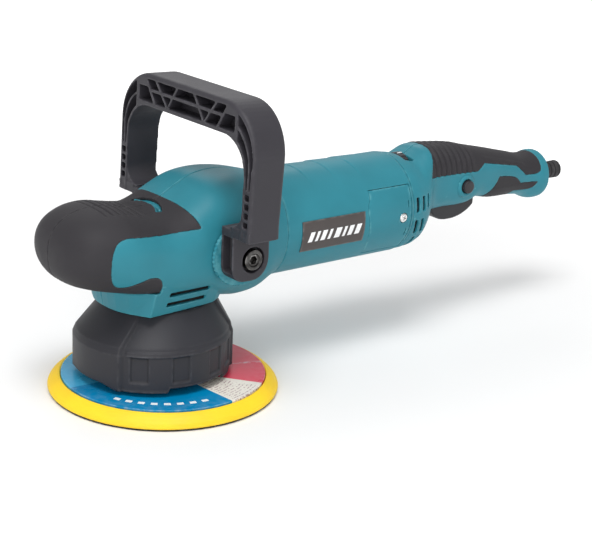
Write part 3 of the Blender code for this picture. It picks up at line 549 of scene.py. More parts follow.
def lofted(name, sections, inset=0.0, count=96, step=2.2, lift=None, overrun=0.0):
    """A closed body through superellipse sections; lift adds its own relief to each point."""
    rings = []
    rows = eased(sections, step)
    lean = np.gradient(np.array(rows)[:, [0, 3]], axis=0)
    for (x, top, bottom, half, above, below), (along, out) in zip(rows, lean):
        length = math.hypot(along, out)
        x += inset * out / length if x < NOSE_END else 0.0
        share = along / length if x < NOSE_END else 1.0
        middle, tall, wide = (top + bottom) / 2, (top - bottom) / 2 - inset * share, half - inset * share
        if min(tall, wide) < 0.04:
            continue
        ring = []
        for i in range(count):
            turn = math.tau * (i + 0.5) / count
            c, s = math.cos(turn), math.sin(turn)
            power = 2.0 / (above if s > 0 else below)
            y = wide * math.copysign(abs(c) ** power, c)
            z = tall * math.copysign(abs(s) ** power, s)
            rise = lift(x, y, middle + z) / max(1.0, math.hypot(y, z)) if lift else 0.0
            ring.append((x, y * (1.0 + rise), middle + z * (1.0 + rise)))
        rings.append(ring)
    if overrun:
        rings.append([(x + overrun, y, z) for x, y, z in rings[-1]])
        if sections is not HEAD:
            rings.insert(0, [(x - overrun, y, z) for x, y, z in rings[0]])
    return solid(name, [p for ring in rings for p in ring], capped(len(rings), count))


def prism(name, outline, low, high, axis="Y"):
    """An outline pushed along one axis; the outline holds the other two coordinates in order."""
    place = {
        "X": lambda a, b, t: (t, a, b),
        "Y": lambda a, b, t: (a, t, b),
        "Z": lambda a, b, t: (a, b, t),
    }[axis]
    verts = [place(a, b, t) for t in (low, high) for a, b in outline]
    return solid(name, verts, capped(2, len(outline)))


def block(name, low, high):
    """A plain cutter between two corners."""
    corners = [(low[0], low[1]), (high[0], low[1]), (high[0], high[1]), (low[0], high[1])]
    return prism(name, corners, low[2], high[2], "Z")


def rod(name, radius, low, high, centre=(0.0, 0.0, 0.0), axis="Z", steps=48):
    """A plain round cutter between two heights."""
    profile = [(0.0, low), (radius, low), (radius, high), (0.0, high)]
    return turned(name, profile, centre, axis, steps)


def kept(obj):
    """Make the modifiers' result the piece's own mesh."""
    graph = bpy.context.evaluated_depsgraph_get()
    graph.update()
    mesh = bpy.data.meshes.new_from_object(obj.evaluated_get(graph))
    obj.modifiers.clear()
    obj.data = mesh
    return obj


def combine(target, tools, operation):
    """Cut by, join with or keep inside the tools, which are used up."""
    for tool in tools:
        change = target.modifiers.new(operation.lower(), "BOOLEAN")
        change.operation = operation
        change.object = tool
    kept(target)
    for tool in tools:
        bpy.data.objects.remove(tool)
    return target


def cut(target, *tools):
    return combine(target, tools, "DIFFERENCE")


def join(target, *tools):
    return combine(target, tools, "UNION")


def moulded(obj, voxel=0.5, passes=3):
    """Give every edge the small radius that a mould gives it."""
    skin = obj.modifiers.new("skin", "REMESH")
    skin.mode = "VOXEL"
    skin.voxel_size = voxel * MM
    skin.use_smooth_shade = True
    soft = obj.modifiers.new("soft", "SMOOTH")
    soft.iterations = passes
    return kept(obj)


def rounded(outline, times=3):
    """An outline with its corners cut again and again; a doubled point stays a corner."""
    points = [np.array(p, float) for p in outline]
    for _ in range(times):
        nexts = points[1:] + points[:1]
        points = [q for a, b in zip(points, nexts) for q in (0.75 * a + 0.25 * b, 0.25 * a + 0.75 * b)]
    clean = []
    for p in points:
        if not clean or np.linalg.norm(p - clean[-1]) > 0.05:
            clean.append(p)
    return [tuple(p) for p in clean]


def mirrored(obj, name):
    """The other hand of a piece, reflected through the tool's middle plane."""
    twin = obj.copy()
    twin.data = obj.data.copy()
    twin.name = name
    bpy.context.collection.objects.link(twin)
    twin.data.transform(Matrix.Scale(-1.0, 4, (0.0, 1.0, 0.0)))
    twin.data.flip_normals()
    return twin


def far_side():
    """A cutter that takes away everything right of the seam."""
    return block("far_side", (-200.0, -SEAM, -200.0), (500.0, 200.0, 300.0))


def across(side, near, far):
    """Two distances from the middle plane, on that side of it, in rising order."""
    return sorted((side * near, side * far))


def arc_band(centre, inner, outer, start, end, steps=24):
    """A flat curved band, as (a, b) points."""
    turns = [math.radians(start + (end - start) * i / steps) for i in range(steps + 1)]
    return [(centre[0] + outer * math.cos(t), centre[1] + outer * math.sin(t)) for t in turns] + [
        (centre[0] + inner * math.cos(t), centre[1] + inner * math.sin(t)) for t in reversed(turns)]


def collar():
    """The collar below the head: bowed front, sharp cheeks, sides that lean out as they rise."""
    low = [
        (-37.6, 0.0), (-37.3, 7.0), (-36.0, 14.0), (-32.4, 22.5), (-24.8, 34.6), (-8.0, 33.4),
        (6.0, 32.4), (18.0, 31.2), (25.6, 29.9), (33.0, 25.0), (39.0, 16.0), (42.0, 6.0), (42.2, 0.0)]
    high = [
        (-41.0, 0.0), (-40.7, 7.0), (-39.6, 15.0), (-34.8, 25.5), (-23.0, 39.6), (-8.0, 39.8),
        (6.0, 39.8), (18.0, 39.6), (27.0, 38.0), (36.0, 32.0), (44.0, 20.0), (47.0, 7.0), (47.2, 0.0)]
    plans = [plan + [(x, -y) for x, y in reversed(plan[1:-1])] for plan in (low, high)]
    verts = [(x, y, z) for plan, z in zip(plans, (63.0, 82.0)) for x, y in plan]
    return solid("collar", verts, capped(2, len(plans[0])))


TEAL = (0.026, 0.205, 0.262)
teal_nylon = moulding(
    "teal_nylon", TEAL, (0.12, 0.38, 0.43),
    low=0.38, high=0.52, size=0.5, depth=0.05, waviness=0.5, specular=0.25)
# Near-black and dull, for blocks set inside the slots as painted shade.
painted_shade_black = moulding(
    "painted_shade_black", (0.006, 0.007, 0.008), (0.02, 0.02, 0.02),
    low=0.6, high=0.75, size=0.6, depth=0.05, waviness=0.4, specular=0.1)
cover = lofted("cover_left", HEAD)
join(cover, collar())
cut(cover, far_side())
for low, high, z, reach in ((-12.4, 17.8, 75.3, 35.0), (-13.4, 16.4, 68.3, 32.8)):
    cut(cover, block("slot", (low, -55.0, z), (high, -25.0, z + 2.8)))
    for side in (-1.0, 1.0):
        # A near-black block a little inside each slot: painted shade in the slot.
        near, far = across(side, 30.6, reach)
        slot_shade = block("slot_shade", (low + 0.1, near, z + 0.1), (high - 0.1, far, z + 2.7))
        dressed(slot_shade, painted_shade_black)
        fitted(slot_shade, "housing", "black_nylon")
pocket = prism("pocket", rounded(NOSE_RUBBER), -60.0, 60.0)
cut(pocket, lofted("under", HEAD, 2.2, overrun=4.0))
cut(cover, pocket)
bead = prism("bead", arc_band((-34.0, 0.0), 30.9, 32.2, -28.0, 28.0), 116.0, 124.6, "Z")
cut(bead, far_side())
join(cover, bead)
cut(cover, rod("bolt_hole", BOLT_WAY_R, -60.0, 60.0, (BAIL_X, 0.0, BAIL_Z), "Y"))
moulded(cover)
cut(cover, lofted("inside", HEAD, 4.6, 48, 6.0, overrun=4.0), rod("case_room", 30.3, 50.0, 116.6))
dressed(cover, teal_nylon)
fitted(mirrored(cover, "cover_right"), "housing", "teal_housing", "head_cover_right")
fitted(cover, "housing", "teal_housing", "head_cover_left")

# The palm rubber: a soft charcoal skin moulded over the nose in two halves, ribbed across its
# top where the heel of the hand rests, with a curved opening that shows the bead below it.
RIB_START = -47.0
RIB_PITCH = 5.0
RIB_COUNT = 6


def palm_relief(x, y, z):
    """Low ribs across the top of the nose, and a soft swell over the rest of the rubber."""
    share = (x - RIB_START) / RIB_PITCH
    if not 0.0 < share < RIB_COUNT or z < 112.0:
        return 0.25
    fade = 1.0 - step_up(abs(y), 17.0, 21.0)
    return 0.25 - 1.7 * fade * max(0.0, math.cos(math.tau * share)) ** 3


soft_rubber = moulding(
    "soft_rubber", (0.030, 0.028, 0.032), (0.09, 0.086, 0.09),
    low=0.54, high=0.70, size=0.45, depth=0.06, waviness=0.4, specular=0.25)
palm = lofted("palm_left", HEAD, count=160, step=0.8, lift=palm_relief)
region = prism("region", rounded(NOSE_RUBBER), -60.0, 60.0)
combine(palm, [region], "INTERSECT")
cut(palm, far_side(), lofted("under", HEAD, 1.9, overrun=4.0))
cut(palm, prism("opening", arc_band((-34.0, 0.0), 29.0, 33.0, -31.0, 31.0), 100.0, 140.0, "Z"))
moulded(palm, 0.5, 3)
dressed(palm, soft_rubber)
fitted(mirrored(palm, "palm_right"), "housing", "soft_grip", "nose_grip_right")
fitted(palm, "housing", "soft_grip", "nose_grip_left")

# The bail handle: glass-filled nylon, moulded as a bow with open pockets on both faces that leave
# a truss of thin ribs, and a lug on each side for its bolt. It leans back a little as it stands.
BAIL_HALF = 75.0
BAIL_TOP = 197.0
BAIL_FRONT, BAIL_REAR = 18.2, 41.6
BAIL_LEAN = math.radians(1.8)
LEG_IN = BAIL_HALF - 9.5
LUG_FRONT, LUG_MIDDLE, LUG_REAR, LUG_TOP = 19.4, 34.8, 47.4, 119.0
FOOT_TOP = 120.8
CROOK_R = 12.0
POCKET_DEPTH = 9.2
BAR_LOW, BAR_MIDDLE, BAR_HIGH = 178.6, 186.6, 193.4
RIM_IN, RIM_OUT, RIB = 2.0, 3.0, 2.1


def rounded_box(low, high, radius, steps=12):
    """A rectangle with round corners, as (a, b) points."""
    centres = [
        (high[0] - radius, high[1] - radius, 0.0), (low[0] + radius, high[1] - radius, 90.0),
        (low[0] + radius, low[1] + radius, 180.0), (high[0] - radius, low[1] + radius, 270.0)]
    points = []
    for a, b, start in centres:
        for i in range(steps + 1):
            turn = math.radians(start + 90.0 * i / steps)
            points.append((a + radius * math.cos(turn), b + radius * math.sin(turn)))
    return points


def leaning(points):
    """Points of the upright bail, leant back about its bolts."""
    c, s = math.cos(BAIL_LEAN), math.sin(BAIL_LEAN)
    points = [(x + 0.0013 * (x - BAIL_FRONT) * (z - 115.0), y, z) for x, y, z in points]
    return [(BAIL_X + (x - BAIL_X) * c + (z - BAIL_Z) * s, y, BAIL_Z - (x - BAIL_X) * s + (z - BAIL_Z) * c)
            for x, y, z in points]


def bow():
    """The bail's outline pushed front to back, with its outer edges rounded over."""
    layers = []
    for x, less in ((0.0, 2.4), (0.5, 1.3), (1.3, 0.4), (2.6, 0.0)):
        layers.append((BAIL_FRONT + x, less))
    layers += [(BAIL_FRONT + BAIL_REAR - x, less) for x, less in reversed(layers)]
    verts = []
    for x, less in layers:
        outline = rounded_box((-BAIL_HALF + less, 60.0), (BAIL_HALF - less, BAIL_TOP - less), 33.0 - less, 14)
        verts += leaning([(x, y, z) for y, z in outline])
    return solid("bow", verts, capped(len(layers), len(verts) // len(layers)))


def inner_edge(t):
    """The hand room's edge from the leg (t = 0) round the corner to the top bar (t = 1)."""
    if t < 0.3:
        return np.array((65.5, 146.0 + 7.5 * t / 0.3))
    turn = math.radians(52.5 * (t - 0.3) / 0.7)
    return np.array((42.5 + 23.0 * math.cos(turn), 153.5 + 23.0 * math.sin(turn)))


def outer_edge(t):
    """The bail's outer edge over the same stretch."""
    if t < 0.3:
        return np.array((75.0, 146.0 + 18.0 * t / 0.3))
    turn = math.radians(64.0 * (t - 0.3) / 0.7)
    return np.array((42.0 + 33.0 * math.cos(turn), 164.0 + 33.0 * math.sin(turn)))


def corner_pockets():
    """The two long curved pockets that share a rib round the bail's corner."""
    insides, middles, outsides = [], [], []
    for i in range(21):
        a, b = inner_edge(i / 20), outer_edge(i / 20)
        across = (b - a) / np.linalg.norm(b - a)
        near, far = a + across * RIM_IN, b - across * RIM_OUT
        insides.append(near)
        outsides.append(far)
        middles.append(((near + far) / 2, across * RIB * 0.42))
    low = insides + [m - r for m, r in reversed(middles)]
    high = [m + r for m, r in middles] + list(reversed(outsides))
    return [low, high]


def on_rib(top, foot, z, shift):
    """The place at that height on a slanted rib that runs from foot up to top."""
    return np.array((foot + (top - foot) * (z - BAR_LOW) / (BAR_HIGH - BAR_LOW) + shift, z))


def bar_pockets():
    """The top bar's pockets: a mid rib crossed by three slanted ribs on each side."""
    leans = [(54.6, 54.6), (45.5, 35.5), (33.8, 20.9), (9.4, 20.1)]
    leans += [(-a, -b) for a, b in reversed(leans)]
    cells = []
    for (a_top, a_low), (b_top, b_low) in zip(leans, leans[1:]):
        if abs(a_top) > 50.0 or abs(b_top) > 50.0:
            levels = [(BAR_LOW, BAR_HIGH - 5.0)]
        else:
            levels = [(BAR_LOW, BAR_MIDDLE - RIB / 2), (BAR_MIDDLE + RIB / 2, BAR_HIGH)]
        for bottom, top in levels:
            corners = [on_rib(a_top, a_low, bottom, -RIB / 2), on_rib(a_top, a_low, top, -RIB / 2),
                       on_rib(b_top, b_low, top, RIB / 2), on_rib(b_top, b_low, bottom, RIB / 2)]
            wide = corners[0][0] - corners[3][0]
            if wide < 0.6:
                corners = [(corners[0] + corners[3]) / 2] + corners[1:3]
            cells.append(corners)
    return cells


def leg_pockets():
    """Five small square pockets, one above another, at each leg's foot."""
    cells = []
    for i in range(5):
        z = 117.0 + 5.7 * i
        cells.append([np.array(p) for p in ((67.3, z), (71.9, z), (71.9, z + 3.9), (67.3, z + 3.9))])
    return cells


bail = bow()
room = rounded_box((-LEG_IN, 40.0), (LEG_IN, 176.5), 23.0, 12)
hand_room = prism("hand_room", room, 0.0, 80.0, "X")
below = block("below", (-10.0, -90.0, 20.0), (90.0, 90.0, 114.6))
cells = [[p * (side, 1.0) for p in cell]
         for cell in corner_pockets() + leg_pockets() for side in (1.0, -1.0)] + bar_pockets()
cutter_verts, cutter_faces = [], []
for cell in cells:
    for low, high in ((BAIL_FRONT - 6.0, BAIL_FRONT + POCKET_DEPTH),
                      (BAIL_REAR - POCKET_DEPTH, BAIL_REAR + 6.0)):
        cutter_faces += capped(2, len(cell), len(cutter_verts))
        cutter_verts += leaning([(x, y, z) for x in (low, high) for y, z in cell])
cut(bail, hand_room, below, solid("pockets", cutter_verts, cutter_faces))
for side in (-1.0, 1.0):
    outline = [(LUG_FRONT, LUG_TOP)]
    for i in range(25):
        turn = math.pi * (1.0 + i / 24)
        square = 0.62 if i < 12 else 1.0
        out, down = abs(math.cos(turn)) ** square, abs(math.sin(turn)) ** square
        x = LUG_MIDDLE - (LUG_MIDDLE - LUG_FRONT) * out if i < 12 else LUG_MIDDLE + 12.6 * out
        outline.append((x, BAIL_Z - 13.5 * down))
    outline.append((LUG_REAR, LUG_TOP))
    lug = prism("lug", outline, *across(side, 45.4, 58.0))
    low, high = across(side, 57.0, BAIL_HALF - 0.6)
    join(bail, lug, block("foot", (19.2, low, 114.4), (41.6, high, 121.0)))
    crook = [(66.6, FOOT_TOP + CROOK_R)]
    for i in range(13):
        turn = math.radians(90.0 * i / 12)
        crook.append((LEG_IN - CROOK_R + CROOK_R * math.cos(turn),
                      FOOT_TOP + CROOK_R - CROOK_R * math.sin(turn)))
    crook += [(LEG_IN - CROOK_R, FOOT_TOP - 0.6), (66.6, FOOT_TOP - 0.6)]
    join(bail, prism("crook", [(side * y, z) for y, z in crook], 19.6, 41.6, "X"))
    low, high = across(side, 47.0, 56.6)
    hollow = block("hollow", (12.0, low, 90.0), (26.0, high, 113.6))
    cut(bail, hollow, rod("sink", 8.4, *across(side, 53.0, 90.0), (BAIL_X, 0.0, BAIL_Z), "Y"))
cut(bail, rod("bolt_way", BOLT_WAY_R, -90.0, 90.0, (BAIL_X, 0.0, BAIL_Z), "Y"))
moulded(bail, 0.52, 2)
bail_nylon = moulding(
    "bail_nylon", (0.036, 0.034, 0.041), (0.13, 0.125, 0.14),
    low=0.44, high=0.56, size=0.6, depth=0.07, waviness=0.4, specular=0.3)
dressed(bail, bail_nylon)
fitted(bail, "bail", "black_nylon", "d_handle")

# Pivot discs and bolts: a toothed teal disc under each lug locks the bail's angle, and a black
# oxide socket screw holds it, sunk in the lug.
bolt_spot = (BAIL_X, 0.0, BAIL_Z)
SOCKET_R = 2.9
blacked, tree, shader = blank("blacked_steel")
rubs = placed(tree, wear_and_shade, Reach=0.05)
shine = mixed(tree, rubs["Edge"], (0.055, 0.053, 0.052, 1.0), (0.42, 0.41, 0.40, 1.0))
relief = add(tree, "Bump", {"Strength": 0.6, "Distance": 0.02 * MM, "Height": noise(tree, 0.35, 2.0)})
fill(tree, shader, {"Base Color": shine, "Normal": relief.outputs[0], "Metallic": 1.0, "Roughness": 0.34})


def disc_teeth(turn, height, radius):
    """Fine teeth round a pivot disc's edge."""
    return 0.25 * math.sin(45 * turn) if radius > 20.0 else 0.0


for name, side in (("left", -1.0), ("right", 1.0)):
    disc_profile = [(BOLT_WAY_R, 42.6), (20.2, 42.6), (20.6, 43.0), (20.6, 44.2), (20.2, 45.0),
                    (BOLT_WAY_R, 45.0)]
    disc = turned("disc_" + name, [(r, side * h) for r, h in disc_profile], bolt_spot, "Y", 360, disc_teeth)
    dressed(disc, teal_nylon)
    fitted(disc, "housing", "teal_housing", "pivot_disc_" + name)
    bolt_profile = softened([
        (0.0, 38.5), (3.0, 38.5), (3.0, 53.3), (6.6, 53.3), (6.6, 58.6), (4.4, 58.9), (4.0, 57.9),
        (0.0, 57.9)], 0.5, 4)
    bolt = turned("bolt_" + name, [(r, side * h) for r, h in bolt_profile], bolt_spot, "Y", 72)
    corners = [math.radians(60 * i) for i in range(6)]
    hexagon = [(BAIL_X + SOCKET_R * math.cos(t), BAIL_Z + SOCKET_R * math.sin(t)) for t in corners]
    cut(bolt, prism("socket", hexagon, *across(side, 55.0, 62.0)))
    dressed(bolt, blacked, 30.0)
    fitted(bolt, "housing", "steel", "bail_bolt_" + name)

# The motor housing: a teal nylon barrel with three shallow scale-like steps over its top, and a
# wavy-edged brush cover let into each side, held by one screw and flush with the barrel.
MOTOR_Z = 100.0
MOTOR_R = 35.3
MOTOR_FRONT, MOTOR_REAR = 80.0, 190.0
motor_line = (0.0, 0.0, MOTOR_Z)
SCALES = (84.0, 106.5, 128.0, 149.5, 171.0)


def barrel_relief(turn, x, radius):
    """Scale-like steps that run over the top of the barrel and fade down its sides."""
    if radius < 34.0:
        return 0.0
    from_top = abs(math.degrees(turn) - 90.0)
    from_top = min(from_top, 360.0 - from_top)
    fade = 1.0 - step_up(from_top, 16.0, 46.0)
    rise = 0.0
    for start, end in zip(SCALES, SCALES[1:]):
        bowed = x - 0.028 * from_top**1.15
        rise = max(rise, window(bowed, start, end, 0.5) * (1.0 - (bowed - start) / (end - start)))
    return 0.2 - 0.1 * (x - MOTOR_FRONT) / 110.0 + 0.55 * fade * rise


barrel_profile = [(MOTOR_R - 2.6, MOTOR_FRONT + 0.2), (MOTOR_R - 0.5, MOTOR_FRONT + 0.2),
                  (MOTOR_R - 0.25, MOTOR_FRONT + 0.5)]
barrel_profile += [(MOTOR_R, MOTOR_FRONT + 1.0 + 0.7 * i) for i in range(154)]
barrel_profile += [(MOTOR_R - 0.25, 189.4), (MOTOR_R - 0.6, MOTOR_REAR), (9.4, MOTOR_REAR), (9.4, 181.0),
                   (12.5, 181.0), (12.5, 186.0), (MOTOR_R - 2.6, 186.0)]
barrel = turned("barrel", barrel_profile, motor_line, "X", 240, barrel_relief)
COVER_FRONT, COVER_REAR = 151.0, 187.4
COVER_HIGH, COVER_LOW = 0.58, -0.86


def cover_front(share):
    """Where a brush cover's wavy front edge lies, from its lower corner to its upper one."""
    dip = 1.5 * math.sin(math.tau * (share - 0.38)) * window(share, 0.42, 0.98, 0.06)
    notch = 1.0 * window(share, 0.66, 0.84, 0.03)
    return COVER_FRONT + 2.6 * (1.0 - step_up(share, 0.0, 0.34)) - dip - notch


def curved_slab(name, steps, runs, place):
    """A thin slab of two skins; place gives each point by its step, its skin and its run."""
    verts = [place(i, skin, k) for i in range(steps + 1) for skin in (0, 1) for k in range(runs + 1)]
    width = runs + 1
    faces = []
    for i in range(steps):
        for skin in (0, 1):
            for k in range(runs):
                a = (2 * i + skin) * width + k
                faces.append((a, a + 1, a + 1 + 2 * width, a + 2 * width))
        for k in (0, runs):
            a = 2 * i * width + k
            faces.append((a, a + width, a + 3 * width, a + 2 * width))
    for i in (0, steps):
        for k in range(runs):
            a = 2 * i * width + k
            faces.append((a, a + 1, a + 1 + width, a + width))
    return solid(name, verts, faces)


def cover_patch(name, side, grow, inner, outer):
    """The curved patch that a brush cover fills; grow widens it all round."""
    high, low = COVER_HIGH + grow / MOTOR_R, COVER_LOW - grow / MOTOR_R
    steps, runs = 60, 30
    fronts = [cover_front(i / steps) - grow for i in range(steps + 1)]

    def place(i, skin, k):
        turn = low + (high - low) * (i / steps)
        x = fronts[i] + (COVER_REAR + grow - fronts[i]) * k / runs
        at_rim = min(i, steps - i, k, runs - k) == 0
        reach = (inner, outer)[skin] - (0.14 if at_rim and skin and not grow else 0.0)
        return x, side * reach * math.cos(turn), MOTOR_Z + reach * math.sin(turn)

    return curved_slab(name, steps, runs, place)


for side in (-1.0, 1.0):
    low, high = across(side, 20.0, 50.0)
    cut(barrel, block("holder_way", (161.0, low, 93.7), (175.0, high, 106.3)))
    cut(barrel, cover_patch("seat", side, 0.42, MOTOR_R - 2.2, 60.0))
for i in range(4):
    turn = math.radians(45.0 + 90.0 * i)
    spot = (0.0, 21.5 * math.cos(turn), MOTOR_Z + 21.5 * math.sin(turn))
    cut(barrel, rod("air_way", 6.5, 170.0, 200.0, spot, "X"))
dressed(barrel, teal_nylon, 32.0)
fitted(barrel, "housing", "teal_housing", "motor_housing")
bright, tree, shader = blank("plated_steel")
plate_crease_shade = placed(tree, wear_and_shade, Reach=0.05)
# Painted shade: the plating is darkened in its creases.
plated = mixed(tree, plate_crease_shade["Crease Shade"], (0.80, 0.80, 0.79, 1.0), (0.12, 0.11, 0.10, 1.0))
plating = ranged(tree, noise(tree, 0.25, 2.0), 0.3, 0.7, 0.20, 0.36)
fill(tree, shader, {"Base Color": plated, "Roughness": plating, "Metallic": 1.0})


def set_at(obj, spot, axis, turn):
    """Turn a piece made round the origin about an axis, and put it at its spot."""
    x, y, z = spot
    obj.data.transform(Matrix.Translation((0.0, 0.0, DATUM * MM)))
    obj.data.transform(Matrix.Rotation(turn, 4, axis))
    obj.data.transform(Matrix.Translation((x * MM, y * MM, (z - DATUM) * MM)))
    return obj


for name, side in (("left", -1.0), ("right", 1.0)):
    patch = cover_patch("lid_" + name, side, 0.0, MOTOR_R - 1.1, MOTOR_R + 0.06)
    screw_spot = (180.6, 0.0, 97.6)
    low, high = across(side, 28.0, 50.0)
    cut(patch, rod("screw_hole", 3.7, low, high, screw_spot, "Y"))
    near, far = across(side, 20.0, 50.0)
    for low, high in ((104.6, 109.4), (83.6, 89.2)):
        cut(patch, block("slit", (184.3, near, low), (185.0, far, high)))
    dressed(patch, teal_nylon, 32.0)
    fitted(patch, "housing", "teal_housing", "brush_cover_" + name)
    screw_profile = softened([(0.0, 34.3), (3.2, 34.3), (3.2, 35.1), (2.4, 35.8), (0.0, 35.95)], 0.25)
    screw = turned("lid_screw_" + name, [(r, side * h) for r, h in screw_profile], screw_spot, "Y", 48)
    near, far = across(side, 35.1, 37.0)
    for turn in (20.0, 110.0):
        cross = block("cross", (-1.7, near, -0.32), (1.7, far, 0.32))
        cut(screw, set_at(cross, screw_spot, "Y", math.radians(turn)))
    dressed(screw, bright, 25.0)
    fitted(screw, "housing", "steel", "brush_cover_screw_" + name)

# The nameplate: a thin printed film glued on the barrel's left, with its rim rounded down. Its print
# is a plain row of slanted bars.
PLATE_FRONT, PLATE_BACK = 91.5, 145.0
PLATE_LOW, PLATE_HIGH = math.radians(-22.0), math.radians(12.0)
plate_steps, plate_runs = 36, 60


def film_place(i, skin, k):
    """A point of the nameplate's film: its back or its face, which is rounded off at the rim."""
    turn = PLATE_LOW + (PLATE_HIGH - PLATE_LOW) * i / plate_steps
    x = PLATE_FRONT + (PLATE_BACK - PLATE_FRONT) * k / plate_runs
    at_rim = min(i, plate_steps - i, k, plate_runs - k) == 0
    reach = MOTOR_R + (0.35, 0.9)[skin] - (0.2 if at_rim and skin else 0.0)
    return x, -reach * math.cos(turn), MOTOR_Z + reach * math.sin(turn)


INK, FILM = (0.90, 0.91, 0.92, 1.0), (0.062, 0.052, 0.050)
BARS = ((0.02, 0.10), (0.15, 0.20), (0.25, 0.33), (0.38, 0.43), (0.50, 0.60), (0.65, 0.70), (0.75, 0.83),
        (0.88, 0.97))


def slanted_bars(tree):
    """Pale slanted bars of unequal width on a dark ground, as a mark that names nobody."""
    spot = add(tree, "TexCoord").outputs["Object"]
    axes = add(tree, "SeparateXYZ", {0: spot}).outputs
    height = maths(tree, "SUBTRACT", axes[2], (MOTOR_Z - DATUM) * MM)
    lean = maths(tree, "MULTIPLY_ADD", height, -0.35, axes[0])
    bands = [(0.0, (0, 0, 0, 1))]
    for start, end in BARS:
        bands += [(start, (1, 1, 1, 1)), (end, (0, 0, 0, 1))]
    bars = banded(tree, ranged(tree, lean, 0.0975, 0.1435), bands)
    middle = maths(tree, "COMPARE", height, -3.6 * MM, 3.4 * MM)
    return mixed(tree, maths(tree, "MULTIPLY", bars, middle), (*FILM, 1.0), INK)


nameplate = curved_slab("badge", plate_steps, plate_runs, film_place)
dressed(nameplate, moulding(
    "badge_film", FILM, (0.2, 0.19, 0.18),
    low=0.34, high=0.44, size=0.8, depth=0.02, waviness=0.3, specular=0.4, paint=slanted_bars))
fitted(nameplate, "housing", "plate_print", "nameplate")

# The rear housing: two teal nylon halves that narrow from the barrel to the grip and end in a
# round flange, with cooling slots, the dial's window and a ring for the lock button on the left.
LOCK_X, LOCK_Z = 253.0, 107.0
DIAL_Z = 121.0
FLANGE_X = 343.0
CORD_Z = 101.0
REAR = [
    (190.3, 135.0, 65.0, 35.0, 2.0, 2.0), (198.0, 133.6, 65.6, 34.2, 2.1, 2.1),
    (206.0, 131.6, 68.0, 31.5, 2.3, 2.3), (212.0, 134.4, 73.0, 28.2, 2.4, 2.4),
    (217.0, 137.2, 81.0, 24.6, 2.5, 2.6), (222.0, 137.6, 88.4, 22.6, 2.6, 3.0),
    (236.0, 136.6, 90.6, 21.2, 2.6, 3.2), (252.0, 134.9, 90.0, 20.4, 2.5, 3.2),
    (262.0, 133.0, 90.4, 20.0, 2.5, 3.0),
    (272.0, 130.8, 92.4, 19.6, 2.4, 2.4), (290.0, 126.8, 90.0, 18.6, 2.4, 2.4),
    (312.0, 121.6, 88.8, 17.8, 2.2, 2.2), (326.0, 118.6, 86.4, 17.4, 2.1, 2.1),
    (334.0, 118.8, 83.0, 18.0, 2.0, 2.0), (338.0, 119.6, 82.4, 18.6, 2.0, 2.0),
    (343.0, 119.4, 82.6, 18.4, 2.0, 2.0)]
GRIP_RUBBER = [
    (226.0, 146.0), (220.5, 132.0), (214.6, 118.2), (214.6, 118.2), (250.0, 117.0), (265.0, 116.2),
    (265.0, 116.2), (273.0, 121.0), (273.0, 121.0), (309.0, 114.2), (309.0, 114.2), (318.5, 106.2),
    (318.5, 106.2), (333.5, 105.2), (336.6, 111.0), (335.6, 130.0), (300.0, 146.0)]
PALM_RUBBER = [
    (277.0, 80.0), (281.0, 95.2), (289.0, 109.2), (289.0, 109.2), (307.0, 107.0), (313.5, 100.8),
    (313.5, 100.8), (332.0, 99.6), (332.0, 99.6), (327.0, 93.4), (309.0, 94.6), (309.0, 94.6), (303.0, 80.0)]


SLOTS = (
    (193.2, 99.0, 109.6, 0.0), (199.8, 99.0, 109.6, 0.0), (206.2, 100.0, 110.2, 0.0),
    (192.8, 83.2, 93.6, 1.6), (199.2, 83.2, 93.6, 1.8),
    (196.5, 60.0, 79.6, 0.0), (203.0, 60.0, 79.6, 0.0))


def grip_relief(x, y, z):
    """Finger waves across the front of the grip rubber and one raised line behind them."""
    waves = 0.62 * window(x, 219.0, 262.0, 2.0) * math.cos(math.tau * (x - 219.0) / 5.4)
    line = 117.5 - 0.24 * (x - 276.0)
    welt = 0.5 * window(x, 272.0, 318.0, 3.0) * math.exp(-((z - line - 6.5) / 1.1) ** 2)
    return 0.15 + (waves - 0.2 if z > 100.0 else 0.0) + welt


